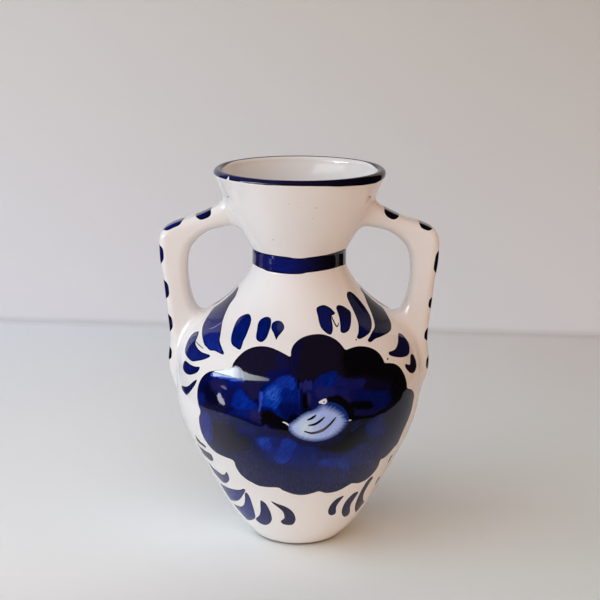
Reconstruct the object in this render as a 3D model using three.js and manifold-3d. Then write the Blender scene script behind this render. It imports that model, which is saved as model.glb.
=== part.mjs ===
import * as THREE from 'three';
import { mergeVertices } from 'three/addons/utils/BufferGeometryUtils.js';
import Module from 'manifold-3d';

// Amphora vase of glazed earthenware: a round belly on a turned foot, a narrow neck,
// a flared mouth and two ear-shaped handles.
// Millimetres, +Z up. The origin is the middle of the ring that the vase stands on,
// the handles lie along X, and -Y is the front.

const wasm = await Module();
wasm.setup();

// Foot and belly
const footRadius = 20.7;
const footRingWidth = 4.6;
const footRecess = 1.5;
const floorThickness = 5.5;
const bellyRadius = 59.1;
const bellyHeight = 79.9;
const wallThickness = 4.5;

// How full the outline is: the lengths and angles of its tangents, and the point
// that draws in the lower half
const footTangent = 29.8;
const footAngle = 40.9;
const lowerDrawRadius = 39.3;
const lowerDrawHeight = 41.5;
const lowerFullness = 34.5;
const upperFullness = 35;
const shoulderTangent = 32;
const shoulderAngle = 64.5;

// Neck and mouth
const shoulderHeight = 134;
const neckRadius = 22.3;
const neckHeight = 7.6;
const mouthRadius = 40.4;
const mouthHeight = 38.4;
const mouthBulge = 0.9;
const lipThickness = 4.1;

// Handles: an arm from the mouth, an elbow, a leg down to the belly, and a tail that lies on it
const handleReach = 66.3;
const handleDepth = 12.6;
const armDepth = 16;
const armWidth = 9.6;
const armDrop = 10;
const elbowRound = 8;
const legWidth = 13.2;
const legFoot = 98;
const legRise = 6.1;
const tailHeight = 77;
const tailRise = 3.4;

// Joints between the pieces
const slipGap = 0.3;
const lapHeight = 1.5;
const enamelThickness = 0.4;

// Fineness of the facets
const roundSegments = 56;
const curveSteps = 11;
const mouthSteps = 6;
const lipSteps = 6;
const strapSteps = 34;
const strapSides = 16;
const strapSquareness = 0.62;

const degrees = Math.PI / 180;
const neckTop = shoulderHeight + neckHeight;
const topHeight = neckTop + mouthHeight;
const armTop = topHeight - armDepth;
const boreRadius = neckRadius - wallThickness;
const footJoint = footRecess + floorThickness - lapHeight;
const lipRadius = lipThickness / 2;

const glaze = new THREE.Color().setRGB(0.9, 0.88, 0.85, THREE.SRGBColorSpace);
const cobalt = new THREE.Color().setRGB(0.06, 0.07, 0.28, THREE.SRGBColorSpace);
const clay = new THREE.Color().setRGB(0.86, 0.8, 0.73, THREE.SRGBColorSpace);

function at(x, z) {
  return new THREE.Vector2(x, z);
}

function towards(angle, length) {
  return at(length * Math.cos(angle * degrees), length * Math.sin(angle * degrees));
}

// A Bezier curve of any number of control points
function bezier(controls, steps) {
  const points = [];
  for (let i = 0; i <= steps; i++) {
    let level = controls;
    while (level.length > 1) {
      level = level.slice(1).map((point, k) => level[k].clone().lerp(point, i / steps));
    }
    points.push(level[0].clone());
  }
  return points;
}

// The outside of the foot, belly and shoulder, from the table up, as [radius, height] points
function bellyOutline() {
  const foot = at(footRadius, 0);
  const widest = at(bellyRadius, bellyHeight);
  const neck = at(neckRadius, shoulderHeight);
  const lower = bezier([
    foot,
    foot.clone().add(towards(footAngle, footTangent)),
    at(lowerDrawRadius, lowerDrawHeight),
    at(bellyRadius, bellyHeight - lowerFullness),
    widest,
  ], curveSteps);
  const upper = bezier([
    widest,
    at(bellyRadius, bellyHeight + upperFullness),
    neck.clone().add(towards(-shoulderAngle, shoulderTangent)),
    neck,
  ], curveSteps);
  return [...lower, ...upper.slice(1)];
}

// A flared wall from the neck up to the lip, swollen a little at half height
function flare(lowRadius, highRadius) {
  const low = at(lowRadius, neckTop);
  const high = at(highRadius, topHeight - lipRadius);
  const swollen = low.clone().lerp(high, 0.5).add(at(2 * mouthBulge, 0));
  return bezier([low, swollen, high], mouthSteps);
}

// The round edge of the lip, from outside over the top to inside
function lipArc(radius) {
  const middle = at(mouthRadius - lipRadius, topHeight - lipRadius);
  const points = [];
  for (let i = 0; i <= lipSteps; i++) {
    points.push(middle.clone().add(towards((i / lipSteps) * 180, radius)));
  }
  return points;
}

// The same outline moved outwards (or inwards, if distance is below zero)
function offsetOutline(points, distance) {
  return points.map((point, i) => {
    const before = points[Math.max(i - 1, 0)];
    const after = points[Math.min(i + 1, points.length - 1)];
    const along = after.clone().sub(before).normalize();
    return at(point.x + along.y * distance, point.y - along.x * distance);
  });
}

// Radius of an outline at a height
function radiusAt(points, height) {
  for (let i = 1; i < points.length; i++) {
    const [a, b] = [points[i - 1], points[i]];
    if (height <= b.y) {
      return a.x + ((b.x - a.x) * (height - a.y)) / (b.y - a.y);
    }
  }
  return points[points.length - 1].x;
}

// The stretch of an outline between two heights, with its ends on them
function stretch(points, low, high) {
  const between = points.filter((point) => point.y > low + slipGap && point.y < high - slipGap);
  return [
    at(radiusAt(points, low), low),
    ...between,
    at(radiusAt(points, high), high),
  ];
}

// Turns an outline about the Z axis. It runs up the outside and down the inside
function turn(points) {
  const geometry = new THREE.LatheGeometry(points, roundSegments);
  geometry.rotateX(Math.PI / 2);
  return geometry;
}

function closed(points) {
  return [...points, points[0].clone()];
}

function toSolid(geometry) {
  const bare = geometry.clone();
  bare.deleteAttribute('normal');
  bare.deleteAttribute('uv');
  const merged = mergeVertices(bare, 1e-4);
  return new wasm.Manifold(new wasm.Mesh({
    numProp: 3,
    vertProperties: new Float32Array(merged.attributes.position.array),
    triVerts: new Uint32Array(merged.index.array),
  }));
}

function toGeometry(solid) {
  const mesh = solid.getMesh();
  const geometry = new THREE.BufferGeometry();
  geometry.setAttribute('position', new THREE.BufferAttribute(mesh.vertProperties, 3));
  geometry.setIndex(new THREE.BufferAttribute(mesh.triVerts, 1));
  geometry.computeVertexNormals();
  return geometry;
}

const outside = bellyOutline();
const inside = offsetOutline(outside, -wallThickness);
const mouthOutside = flare(neckRadius, mouthRadius);
const mouthInside = flare(boreRadius, mouthRadius - lipThickness);

// Middle of the wall at a joint, where the two halves of a lap meet
const footLap = (radiusAt(outside, footJoint) + radiusAt(inside, footJoint)) / 2;
const neckLap = (neckRadius - enamelThickness + boreRadius) / 2;

// The turned foot: a ring to stand on, a recess inside it, and the floor of the vase,
// whose raised middle centres the belly
function footGeometry() {
  const ringInside = footRadius - footRingWidth;
  const spigot = footLap - slipGap / 2;
  const points = [
    at(0, footRecess),
    at(ringInside - footRecess, footRecess),
    at(ringInside, 0),
    ...stretch(outside, 0, footJoint),
    at(spigot, footJoint),
    at(spigot, footJoint + lapHeight),
    at(0, footJoint + lapHeight),
  ];
  return turn(points);
}

// Belly and shoulder: one hollow wall, open below on the foot and above at the neck
function bellyGeometry() {
  const wallFoot = footJoint + lapHeight;
  const socket = footLap + slipGap / 2;
  const collarSocket = neckLap + slipGap / 2;
  const points = [
    ...stretch(outside, footJoint, shoulderHeight),
    at(collarSocket, shoulderHeight),
    at(collarSocket, shoulderHeight - lapHeight),
    at(boreRadius, shoulderHeight - lapHeight),
    ...stretch(inside, wallFoot, shoulderHeight - 2 * lapHeight).reverse(),
    at(socket, wallFoot),
    at(socket, footJoint),
  ];
  return turn(closed(points));
}

// The straight neck, a short collar with a lap at each end
function collarGeometry() {
  const skin = neckRadius - enamelThickness;
  const tongue = neckLap - slipGap / 2;
  const socket = neckLap + slipGap / 2;
  const points = [
    at(skin, shoulderHeight),
    at(skin, neckTop),
    at(socket, neckTop),
    at(socket, neckTop - lapHeight),
    at(boreRadius, neckTop - lapHeight),
    at(boreRadius, shoulderHeight - lapHeight),
    at(tongue, shoulderHeight - lapHeight),
    at(tongue, shoulderHeight),
  ];
  return turn(closed(points));
}

// The flared mouth, with a tongue that drops into the collar and a rounded lip
function mouthGeometry() {
  const tongue = neckLap - slipGap / 2;
  const points = [
    at(tongue, neckTop - lapHeight),
    at(tongue, neckTop),
    ...mouthOutside,
    ...lipArc(lipRadius - enamelThickness),
    ...[...mouthInside].reverse(),
    at(boreRadius, neckTop - lapHeight),
  ];
  return turn(closed(points));
}

// The line of blue enamel over the lip
function rimBandGeometry() {
  const points = [
    ...lipArc(lipRadius),
    ...lipArc(lipRadius - enamelThickness).reverse(),
  ];
  return turn(closed(points));
}

// The band of blue enamel round the neck
function neckBandGeometry() {
  const skin = neckRadius - enamelThickness;
  return turn(closed([
    at(skin, shoulderHeight),
    at(neckRadius, shoulderHeight),
    at(neckRadius, neckTop),
    at(skin, neckTop),
  ]));
}

// Outer and inner edge of the strap, in pairs from the mouth round the elbow to the belly.
// The ends lie inside the vase, whose own surface cuts them off
function strapEdges() {
  const mouth = radiusAt(mouthOutside, armTop);
  const belly = radiusAt(outside, tailHeight);
  const tailReach = belly + tailRise;
  const elbow = at(handleReach, armTop - armDrop);
  const legInside = handleReach - legWidth;
  const hidden = wallThickness + slipGap;
  const armAt = (share) => at(mouth, armTop).lerp(elbow, share);
  const legTop = at(handleReach, elbow.y - elbowRound);
  const legEnd = at(radiusAt(outside, legFoot) + legRise, legFoot);
  const legAt = (share) => legTop.clone().lerp(legEnd, share);
  const tailAt = (share) => THREE.MathUtils.lerp(legFoot, tailHeight, share);
  const below = (point, drop, back = 0) => at(point.x - back, point.y - drop);
  const inFrom = (point, share, drop) => at(point.x - share * legWidth, point.y - drop);
  return [
    [below(armAt(0), -0.5 * hidden, hidden), below(armAt(0), armWidth, 2 * hidden)],
    [armAt(0), below(armAt(0), 1.1 * armWidth, 0.6 * armWidth)],
    [below(armAt(0.15), 1.3), below(armAt(0.15), 1.1 * armWidth, 0.6 * armWidth)],
    [below(armAt(0.36), 1.9), below(armAt(0.36), 1.04 * armWidth, 0.8 * armWidth)],
    [below(armAt(0.58), 1.6), below(armAt(0.58), armWidth, armWidth)],
    [below(armAt(0.8), 0.5), below(armAt(0.8), armWidth, 1.35 * armWidth)],
    [below(elbow, 2.6, 2.6), inFrom(elbow, 1.3, 1.05 * elbowRound)],
    [below(elbow, 0.72 * elbowRound, 0.4), inFrom(elbow, 1.14, 1.5 * elbowRound)],
    [legAt(0.08), inFrom(legAt(0.14), 1.04, 0)],
    [legAt(0.27), inFrom(legAt(0.3), 0.98, 0)],
    [legAt(0.45), inFrom(legAt(0.45), 0.97, 0)],
    [legAt(0.62), inFrom(legAt(0.58), 0.98, 0)],
    [legAt(0.77), at(legInside - 0.3 * legWidth, legAt(0.69).y)],
    [legAt(0.89), at(legInside - 0.52 * legWidth, legAt(0.76).y)],
    [legAt(1), at(legInside - 0.9 * legWidth, legAt(0.87).y)],
    [at(tailReach - 0.4, tailAt(0.28)), at(belly - 1.4 * legWidth, tailAt(0))],
    [at(tailReach, tailAt(0.5)), at(belly - 1.2 * legWidth, tailAt(0.35))],
    [at(tailReach - 0.25 * tailRise, tailAt(0.8)), at(belly - legWidth, tailAt(0.7))],
    [at(belly - hidden / 4, tailAt(1)), at(belly - 0.8 * legWidth, tailAt(1))],
  ];
}

// A rounded strap through the pairs of edge points, closed at both ends
function strapGeometry() {
  const edges = strapEdges();
  const toCurve = (side) => new THREE.CatmullRomCurve3(
    edges.map((pair) => new THREE.Vector3(pair[side].x, 0, pair[side].y)),
  );
  const outer = toCurve(0);
  const inner = toCurve(1);
  const rounded = (value) => Math.sign(value) * Math.abs(value) ** strapSquareness;
  const positions = [];
  for (let i = 0; i <= strapSteps; i++) {
    const edge = outer.getPoint(i / strapSteps);
    const middle = edge.clone().lerp(inner.getPoint(i / strapSteps), 0.5);
    const half = edge.clone().sub(middle);
    for (let j = 0; j < strapSides; j++) {
      const angle = (j / strapSides) * 2 * Math.PI;
      const point = middle.clone().addScaledVector(half, rounded(Math.cos(angle)));
      positions.push(point.x, (rounded(Math.sin(angle)) * handleDepth) / 2, point.z);
    }
  }
  const index = [];
  for (let i = 0; i < strapSteps; i++) {
    for (let j = 0; j < strapSides; j++) {
      const a = i * strapSides + j;
      const b = i * strapSides + ((j + 1) % strapSides);
      index.push(a, b + strapSides, b, a, a + strapSides, b + strapSides);
    }
  }
  const last = strapSteps * strapSides;
  for (let j = 1; j < strapSides - 1; j++) {
    index.push(0, j, j + 1, last, last + j + 1, last + j);
  }
  const geometry = new THREE.BufferGeometry();
  geometry.setAttribute('position', new THREE.Float32BufferAttribute(positions, 3));
  geometry.setIndex(index);
  return geometry;
}

// The whole outside of the vase as one full body, grown by the slip gap
function seatSolid() {
  const shell = [
    ...outside,
    ...mouthOutside.slice(0, -1),
    ...lipArc(lipRadius),
  ];
  const grown = offsetOutline(shell, slipGap);
  return toSolid(turn([
    at(0, -slipGap),
    ...grown,
    at(0, grown[grown.length - 1].y),
  ]));
}

function handleGeometry() {
  return toGeometry(toSolid(strapGeometry()).subtract(seatSolid()));
}

const vase = new THREE.Group();

function addPiece(name, geometry, colour, roughness) {
  const material = new THREE.MeshStandardMaterial({ color: colour, roughness, metalness: 0 });
  const mesh = new THREE.Mesh(geometry, material);
  mesh.name = name;
  vase.add(mesh);
  return mesh;
}

addPiece('foot', footGeometry(), clay, 0.6);
addPiece('belly', bellyGeometry(), glaze, 0.15);
addPiece('neck_collar', collarGeometry(), glaze, 0.15);
addPiece('mouth', mouthGeometry(), glaze, 0.15);
addPiece('rim_enamel', rimBandGeometry(), cobalt, 0.12);
addPiece('neck_enamel', neckBandGeometry(), cobalt, 0.12);

const handle = handleGeometry();
addPiece('handle_right', handle, glaze, 0.15);
addPiece('handle_left', handle.clone(), glaze, 0.15).rotation.z = Math.PI;

export default vase;
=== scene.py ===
import math

import bpy
import numpy as np
from mathutils import Matrix, Vector
from mathutils.geometry import delaunay_2d_cdt


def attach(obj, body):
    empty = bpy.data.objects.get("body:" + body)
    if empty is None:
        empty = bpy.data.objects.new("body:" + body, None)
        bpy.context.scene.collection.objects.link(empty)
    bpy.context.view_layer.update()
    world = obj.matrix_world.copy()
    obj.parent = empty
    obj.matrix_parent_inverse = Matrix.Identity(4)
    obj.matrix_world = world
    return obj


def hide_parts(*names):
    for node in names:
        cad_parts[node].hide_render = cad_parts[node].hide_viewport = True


# Amphora vase: white glaze, cobalt blue brushwork. Lengths are in mm until a mesh is made.
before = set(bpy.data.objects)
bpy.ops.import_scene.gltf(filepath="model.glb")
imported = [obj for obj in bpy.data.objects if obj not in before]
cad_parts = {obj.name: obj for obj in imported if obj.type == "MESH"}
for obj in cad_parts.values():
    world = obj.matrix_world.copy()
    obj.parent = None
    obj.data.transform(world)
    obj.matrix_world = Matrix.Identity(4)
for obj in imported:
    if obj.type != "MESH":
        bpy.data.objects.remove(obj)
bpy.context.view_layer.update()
mm = 0.001
picture = bpy.context.scene
print("frame loaded")


# camera: where the photograph was taken from

photoCamera = {
    "inFront": 714.1,        # mm, as the other lengths here. Angles are in degrees
    "height": 290.0,
    "sideways": 0.48,
    "tiltDown": 13.683,
    "roll": 0.3,
    "lens": 92.24,
    "sensor": 36.0,
    "nearest": 10.0,
    "pictureSize": 600,      # pixels
}


def addCamera(values):
    data = bpy.data.cameras.new("photoCamera")
    data.sensor_width = values["sensor"]
    data.lens = values["lens"]
    data.clip_start = values["nearest"] * mm
    camera = bpy.data.objects.new("photoCamera", data)
    place = Matrix.Translation((values["sideways"] * mm, -values["inFront"] * mm, values["height"] * mm))
    tilt = Matrix.Rotation(math.radians(90 - values["tiltDown"]), 4, "X")
    roll = Matrix.Rotation(math.radians(values["roll"]), 4, "Z")
    camera.matrix_world = place @ tilt @ roll
    picture.collection.objects.link(camera)
    picture.camera = camera
    return np.array(place @ tilt @ roll)


cameraPlace = addCamera(photoCamera)
print("camera placed")


# curves and outlines

def bezier(controls, steps):
    share = np.linspace(0, 1, steps + 1)[:, None]
    level = [np.tile(np.array(point, float), (steps + 1, 1)) for point in controls]
    while len(level) > 1:
        level = [a + (b - a) * share for a, b in zip(level, level[1:])]
    return level[0]


def towards(point, angle, length):
    turned = math.radians(angle)
    return (point[0] + length * math.cos(turned), point[1] + length * math.sin(turned))


def lengthAlong(points):
    return np.concatenate([[0], np.cumsum(np.linalg.norm(np.diff(points, axis=0), axis=1))])


def evenSteps(points, step):
    # the same line with its points about one step apart
    points = np.array(points, float)
    run = lengthAlong(points)
    marks = np.linspace(0, run[-1], max(int(round(run[-1] / step)), 2) + 1)
    return np.stack([np.interp(marks, run, points[:, k]) for k in range(points.shape[1])], 1)


def evenLoop(loop, step):
    return evenSteps(np.vstack([loop, loop[:1]]), step)[:-1]


def smoothLine(points, loop, step):
    # a Catmull-Rom curve through given points
    points = np.array(points, float)
    if loop:
        padded = np.vstack([points[-1], points, points[0], points[1]])
    else:
        padded = np.vstack([2 * points[0] - points[1], points, 2 * points[-1] - points[-2]])
    t = np.linspace(0, 1, 12, endpoint=False)[:, None]
    pieces = []
    for i in range(1, len(padded) - 2):
        p0, p1, p2, p3 = padded[i - 1:i + 3]
        pieces.append(0.5 * (2 * p1 + (p2 - p0) * t + (2 * p0 - 5 * p1 + 4 * p2 - p3) * t ** 2
                             + (3 * p1 - p0 - 3 * p2 + p3) * t ** 3))
    curve = np.vstack(pieces + [padded[-2][None, :] if not loop else points[:1]])
    even = evenSteps(curve, step)
    return even[:-1] if loop else even


def relaxed(points, rounds):
    # rounds off the corners of a line and leaves its ends
    points = points.copy()
    for _ in range(rounds):
        points[1:-1] = 0.25 * points[:-2] + 0.5 * points[1:-1] + 0.25 * points[2:]
    return points


def movedOutline(points, distance):
    # the line moved to its right, or to its left by a distance below zero
    along = np.gradient(points, axis=0)
    along /= np.linalg.norm(along, axis=1)[:, None]
    return np.stack([points[:, 0] + along[:, 1] * distance, points[:, 1] - along[:, 0] * distance], 1)


def distanceToLine(points, line, loop=False):
    # distance of each point to the nearest stretch of a line, in blocks to save memory
    ends = np.roll(line, -1, axis=0) if loop else line[1:]
    starts = line if loop else line[:-1]
    step = ends - starts
    square = np.maximum((step ** 2).sum(1), 1e-12)
    nearest = np.empty(len(points))
    blockSize = 4000
    for first in range(0, len(points), blockSize):
        block = points[first:first + blockSize]
        away = block[:, None, :] - starts[None]
        share = np.clip((away * step[None]).sum(2) / square[None], 0, 1)
        away -= share[:, :, None] * step[None]
        nearest[first:first + blockSize] = np.sqrt((away ** 2).sum(2).min(1))
    return nearest


def insideLoop(points, loop):
    following = np.roll(loop, -1, axis=0)
    inside = np.zeros(len(points), bool)
    for (ax, ay), (bx, by) in zip(loop, following):
        crosses = (ay > points[:, 1]) != (by > points[:, 1])
        if crosses.any():
            edge = ax + (points[:, 1] - ay) * (bx - ax) / ((by - ay) or 1e-12)
            inside ^= crosses & (points[:, 0] < edge)
    return inside


def depthInLoop(points, loop):
    # distance to the outline, above zero inside it
    distance = distanceToLine(points, loop, loop=True)
    return np.where(insideLoop(points, loop), distance, -distance)


def eased(share):
    # a share from 0 to 1 that starts and ends gently
    return share * share * (3 - 2 * share)


# the shape of the vase, the same sizes as its solids

vaseShape = {
    "footRadius": 20.7,
    "footAngle": 40.9,
    "footTangent": 29.8,
    "lowerDraw": (39.3, 41.5),
    "lowerFullness": 34.5,
    "bellyRadius": 58.97,
    "bellyHeight": 79.9,
    "upperFullness": 35,
    "shoulderAngle": 64.5,
    "shoulderTangent": 32,
    "shoulderHeight": 134,
    "neckRadius": 22.2,
    "neckHeight": 7.6,
    "mouthRadius": 40.35,
    "mouthHeight": 38.35,
    "mouthBulge": 0.9,
    "lip": 4.1,
    "wall": 4.5,
    "footRing": 4.6,
    "footRecess": 1.5,
    "floorTop": 7.0,
    "floorFlat": 14,
    "floorCorner": (18, 0.6),    # where the floor bends up: radius, height above the floor
    "innerRange": (2.5, 131),    # where the inside follows the belly: from above the floor, up to this height
    "bellyPoints": 120,
    "mouthPoints": 60,
    "outsideStep": 0.6,
    "insideStep": 0.8,
}


def buildOutlines(values):
    radius = values["bellyRadius"]
    widest = (radius, values["bellyHeight"])
    foot = (values["footRadius"], 0)
    neck = (values["neckRadius"], values["shoulderHeight"])
    neckTop = values["shoulderHeight"] + values["neckHeight"]
    lipMiddle = (values["mouthRadius"] - values["lip"] / 2,
                 neckTop + values["mouthHeight"] - values["lip"] / 2)
    lower = bezier([foot, towards(foot, values["footAngle"], values["footTangent"]), values["lowerDraw"],
                    (radius, values["bellyHeight"] - values["lowerFullness"]), widest],
                   values["bellyPoints"])
    upper = bezier([widest, (radius, values["bellyHeight"] + values["upperFullness"]),
                    towards(neck, -values["shoulderAngle"], values["shoulderTangent"]), neck],
                   values["bellyPoints"])

    def flare(low, high):
        swollen = ((low + high) / 2 + 2 * values["mouthBulge"], (neckTop + lipMiddle[1]) / 2)
        return bezier([(low, neckTop), swollen, (high, lipMiddle[1])], values["mouthPoints"])

    mouth = flare(values["neckRadius"], values["mouthRadius"])
    bore = flare(values["neckRadius"] - values["wall"], values["mouthRadius"] - values["lip"])
    arc = np.array([towards(lipMiddle, angle, values["lip"] / 2) for angle in range(0, 181, 6)])
    step = values["outsideStep"]
    belly = evenSteps(np.vstack([lower, upper[1:]]), step)
    outside = relaxed(evenSteps(np.vstack([belly, mouth]), step), 4)
    floor, (aboveFloor, top) = values["floorTop"], values["innerRange"]
    corner, bend = values["floorCorner"]
    innerBelly = movedOutline(belly, -values["wall"])
    innerBelly = innerBelly[(innerBelly[:, 1] > floor + aboveFloor) & (innerBelly[:, 1] < top)]
    inside = np.vstack([[(0, floor), (values["floorFlat"], floor), (corner, floor + bend)],
                        innerBelly, bore])
    inside = relaxed(evenSteps(inside, values["insideStep"]), 6)
    return outside, inside, arc, lipMiddle


outsideLine, insideLine, lipArc, lipMiddle = buildOutlines(vaseShape)
# the outside up to the top of the lip, by height
skinLine = np.vstack([outsideLine, lipArc[1:len(lipArc) // 2 + 1]])


def skinRadius(height):
    return np.interp(height, skinLine[:, 1], skinLine[:, 0])


def wallSlope(height):
    # mm that the wall widens by for each mm up
    return (skinRadius(height + 0.7) - skinRadius(height - 0.7)) / 1.4


def skinNormal(points):
    # direction out of the wall at points on or near it
    reach = np.maximum(np.hypot(points[:, 0], points[:, 1]), 1e-6)
    normal = np.stack([points[:, 0] / reach, points[:, 1] / reach, -wallSlope(points[:, 2])], 1)
    return normal / np.linalg.norm(normal, axis=1)[:, None]


def roundAxis(reach, angle, height):
    # points at a reach from the vase's axis, by their angle from the front
    return np.stack([reach * np.sin(angle), -reach * np.cos(angle), height], -1)


# rays through the photograph's pixels, so that the brushwork lies where it shows it

focal = photoCamera["pictureSize"] * photoCamera["lens"] / photoCamera["sensor"]
halfPicture = photoCamera["pictureSize"] / 2
cameraEye = cameraPlace[:3, 3] / mm
cameraTurn = cameraPlace[:3, :3]


def pixelRays(pixels):
    local = np.stack([(pixels[:, 0] - halfPicture) / focal, (halfPicture - pixels[:, 1]) / focal,
                      -np.ones(len(pixels))], 1)
    return local @ cameraTurn.T


def toPixels(points):
    local = (points - cameraEye) @ cameraTurn
    return np.stack([halfPicture - focal * local[:, 0] / local[:, 2],
                     halfPicture + focal * local[:, 1] / local[:, 2]], 1)


def ontoVase(pixels):
    # where the ray through each pixel first meets the outside of the vase
    rays = pixelRays(np.array(pixels, float))
    near, far, count, halvings = 620.0, 760.0, 141, 24
    steps = np.linspace(near, far, count)

    def gap(distance, ray):
        points = cameraEye + ray * distance[:, None]
        return np.hypot(points[:, 0], points[:, 1]) - skinRadius(points[:, 2])

    gaps = np.stack([gap(np.full(len(rays), step), rays) for step in steps], 1)
    hit = np.argmax(gaps < 0, axis=1)
    missed = ~(gaps < 0).any(axis=1)
    hit[missed] = np.argmin(gaps[missed], axis=1)
    low, high = steps[np.maximum(hit - 1, 0)], steps[hit]
    for _ in range(halvings):
        middle = (low + high) / 2
        outside = gap(middle, rays) > 0
        low = np.where(outside & ~missed, middle, low)
        high = np.where(outside | missed, high, middle)
    return cameraEye + rays * high[:, None]


def seenEdge(side):
    # the body's left or right edge in the photograph, as pixels from the top down
    turns = np.radians(np.arange(50, 121, 1.0))
    height, reach = skinLine[:, 1:2], skinLine[:, 0:1]
    points = roundAxis(reach, side * turns, height + 0 * turns)
    seen = toPixels(points.reshape(-1, 3)).reshape(points.shape[:2] + (2,))
    edge = seen[np.arange(len(height)), np.argmax(side * seen[..., 0], axis=1)]
    return edge[np.argsort(edge[:, 1])]


leftEdge, rightEdge = seenEdge(-1), seenEdge(1)


def keptOnVase(pixels, margin=0.4):
    low = np.interp(pixels[:, 1], leftEdge[:, 1], leftEdge[:, 0]) + margin
    high = np.interp(pixels[:, 1], rightEdge[:, 1], rightEdge[:, 0]) - margin
    return np.stack([np.clip(pixels[:, 0], low, high), pixels[:, 1]], 1)


wallRun = lengthAlong(skinLine)


def unrolled(points, radius):
    # the wall laid flat: distance round the vase and distance up the wall
    around = np.arctan2(points[:, 0], -points[:, 1]) * radius
    return np.stack([around, np.interp(points[:, 2], skinLine[:, 1], wallRun)], 1)


def rolledUp(flat, radius):
    height = np.interp(flat[:, 1], wallRun, skinLine[:, 1])
    return roundAxis(skinRadius(height), flat[:, 0] / radius, height)


# meshes

def newPiece(name, points, faces, material, nodes=(), normals=None, values=None, sharpAngle=None):
    mesh = bpy.data.meshes.new(name)
    mesh.from_pydata((np.array(points) * mm).tolist(), [], faces)
    mesh.polygons.foreach_set("use_smooth", [True] * len(mesh.polygons))
    if sharpAngle:
        mesh.set_sharp_from_angle(angle=math.radians(sharpAngle))
    for key, numbers in (values or {}).items():
        numbers = np.array(numbers, float)
        if numbers.ndim == 1:
            mesh.attributes.new(key, "FLOAT", "POINT").data.foreach_set("value", numbers)
        else:
            mesh.attributes.new(key, "FLOAT_VECTOR", "POINT").data.foreach_set("vector", numbers.ravel())
    if normals is not None:
        mesh.normals_split_custom_set_from_vertices(normals.tolist())
    mesh.materials.append(material)
    piece = bpy.data.objects.new(name, mesh)
    picture.collection.objects.link(piece)
    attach(piece, "root")
    if nodes:
        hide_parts(*nodes)


def turned(line, segments, closedLoop):
    # the mesh of a line turned about the vase's axis. Ends on the axis become one point
    points, faces, rows = [], [], []
    angles = np.arange(segments) * 2 * math.pi / segments
    for radius, height in line:
        if radius < 1e-6:
            rows.append([len(points)] * segments)
            points.append((0, 0, height))
            continue
        rows.append(list(range(len(points), len(points) + segments)))
        points.extend(roundAxis(radius, angles, np.full(segments, height)))
    pairs = list(zip(rows, rows[1:]))
    if closedLoop:
        pairs.append((rows[-1], rows[0]))
    for low, high in pairs:
        for j in range(segments):
            k = (j + 1) % segments
            face = [low[j], low[k], high[k], high[j]]
            face = [v for n, v in enumerate(face) if v != face[n - 1]]
            faces.append(face)
    return np.array(points, float), faces


def fillLoop(loop, spacing, jitter=0.12):
    # points and triangles that fill a loop: its own points first, then an even scatter
    low, high = loop.min(0), loop.max(0)
    rows = np.arange(low[1], high[1], spacing * 0.87)
    columns = np.arange(low[0], high[0], spacing)
    grid = np.vstack([np.stack([columns + (spacing / 2 if n % 2 else 0), np.full(len(columns), y)], 1)
                      for n, y in enumerate(rows)])
    grid = grid + np.random.default_rng(7).uniform(-jitter, jitter, grid.shape) * spacing
    depth = depthInLoop(grid, loop)
    grid = grid[depth > spacing * 0.55]
    points = np.vstack([loop, grid])
    count = len(loop)
    edges = [(i, (i + 1) % count) for i in range(count)]
    found = delaunay_2d_cdt([Vector(p) for p in points.tolist()], edges, [list(range(count))], 1, 1e-5)
    flat = np.array([tuple(v) for v in found[0]])
    triangles = [list(face) for face in found[2]]
    for face in triangles:
        (ax, ay), (bx, by), (cx, cy) = flat[face[0]], flat[face[1]], flat[face[2]]
        if (bx - ax) * (cy - ay) - (by - ay) * (cx - ax) < 0:
            face.reverse()
    return flat, triangles


def borderOf(triangles):
    # directed edges that only one triangle has
    once = set()
    for face in triangles:
        for a, b in zip(face, face[1:] + face[:1]):
            if (b, a) in once:
                once.discard((b, a))
            else:
                once.add((a, b))
    return once


def thickSheet(triangles, top, under, normals):
    # a closed sheet: the top, the same triangles reversed underneath, and a wall between
    count = len(top)
    a, b, c = (top[[face[k] for face in triangles]] for k in range(3))
    if (np.cross(b - a, c - a) * normals[[face[0] for face in triangles]]).sum() < 0:
        triangles = [face[::-1] for face in triangles]
    faces = [list(face) for face in triangles]
    faces += [[v + count for v in reversed(face)] for face in triangles]
    faces += [[b, a, a + count, b + count] for a, b in sorted(borderOf(triangles))]
    return np.vstack([top, under]), faces


# the painter's brushwork: each outline is a loop of pixels in the photograph

paintLayer = {
    "thickness": 0.075,      # mm that the enamel stands proud of the glaze
    "edgeSlope": 0.35,       # mm from the edge to where it is full
    "edgeThickness": 0.12,   # share of the thickness at the very edge
    "sink": 0.3,
    "darkEdge": 0.90,        # width of the dark line where the brush left its edge
    "edgeShade": 0.25,       # share of the tone that is left at the very edge
    "edgeTilt": 0.22,        # how far the surface leans outwards at the very edge
    "brushScale": 2.1,       # size of the hairs' pattern
    "strokeShift": 7.3,      # so that no two strokes have the same hairs
}


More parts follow.
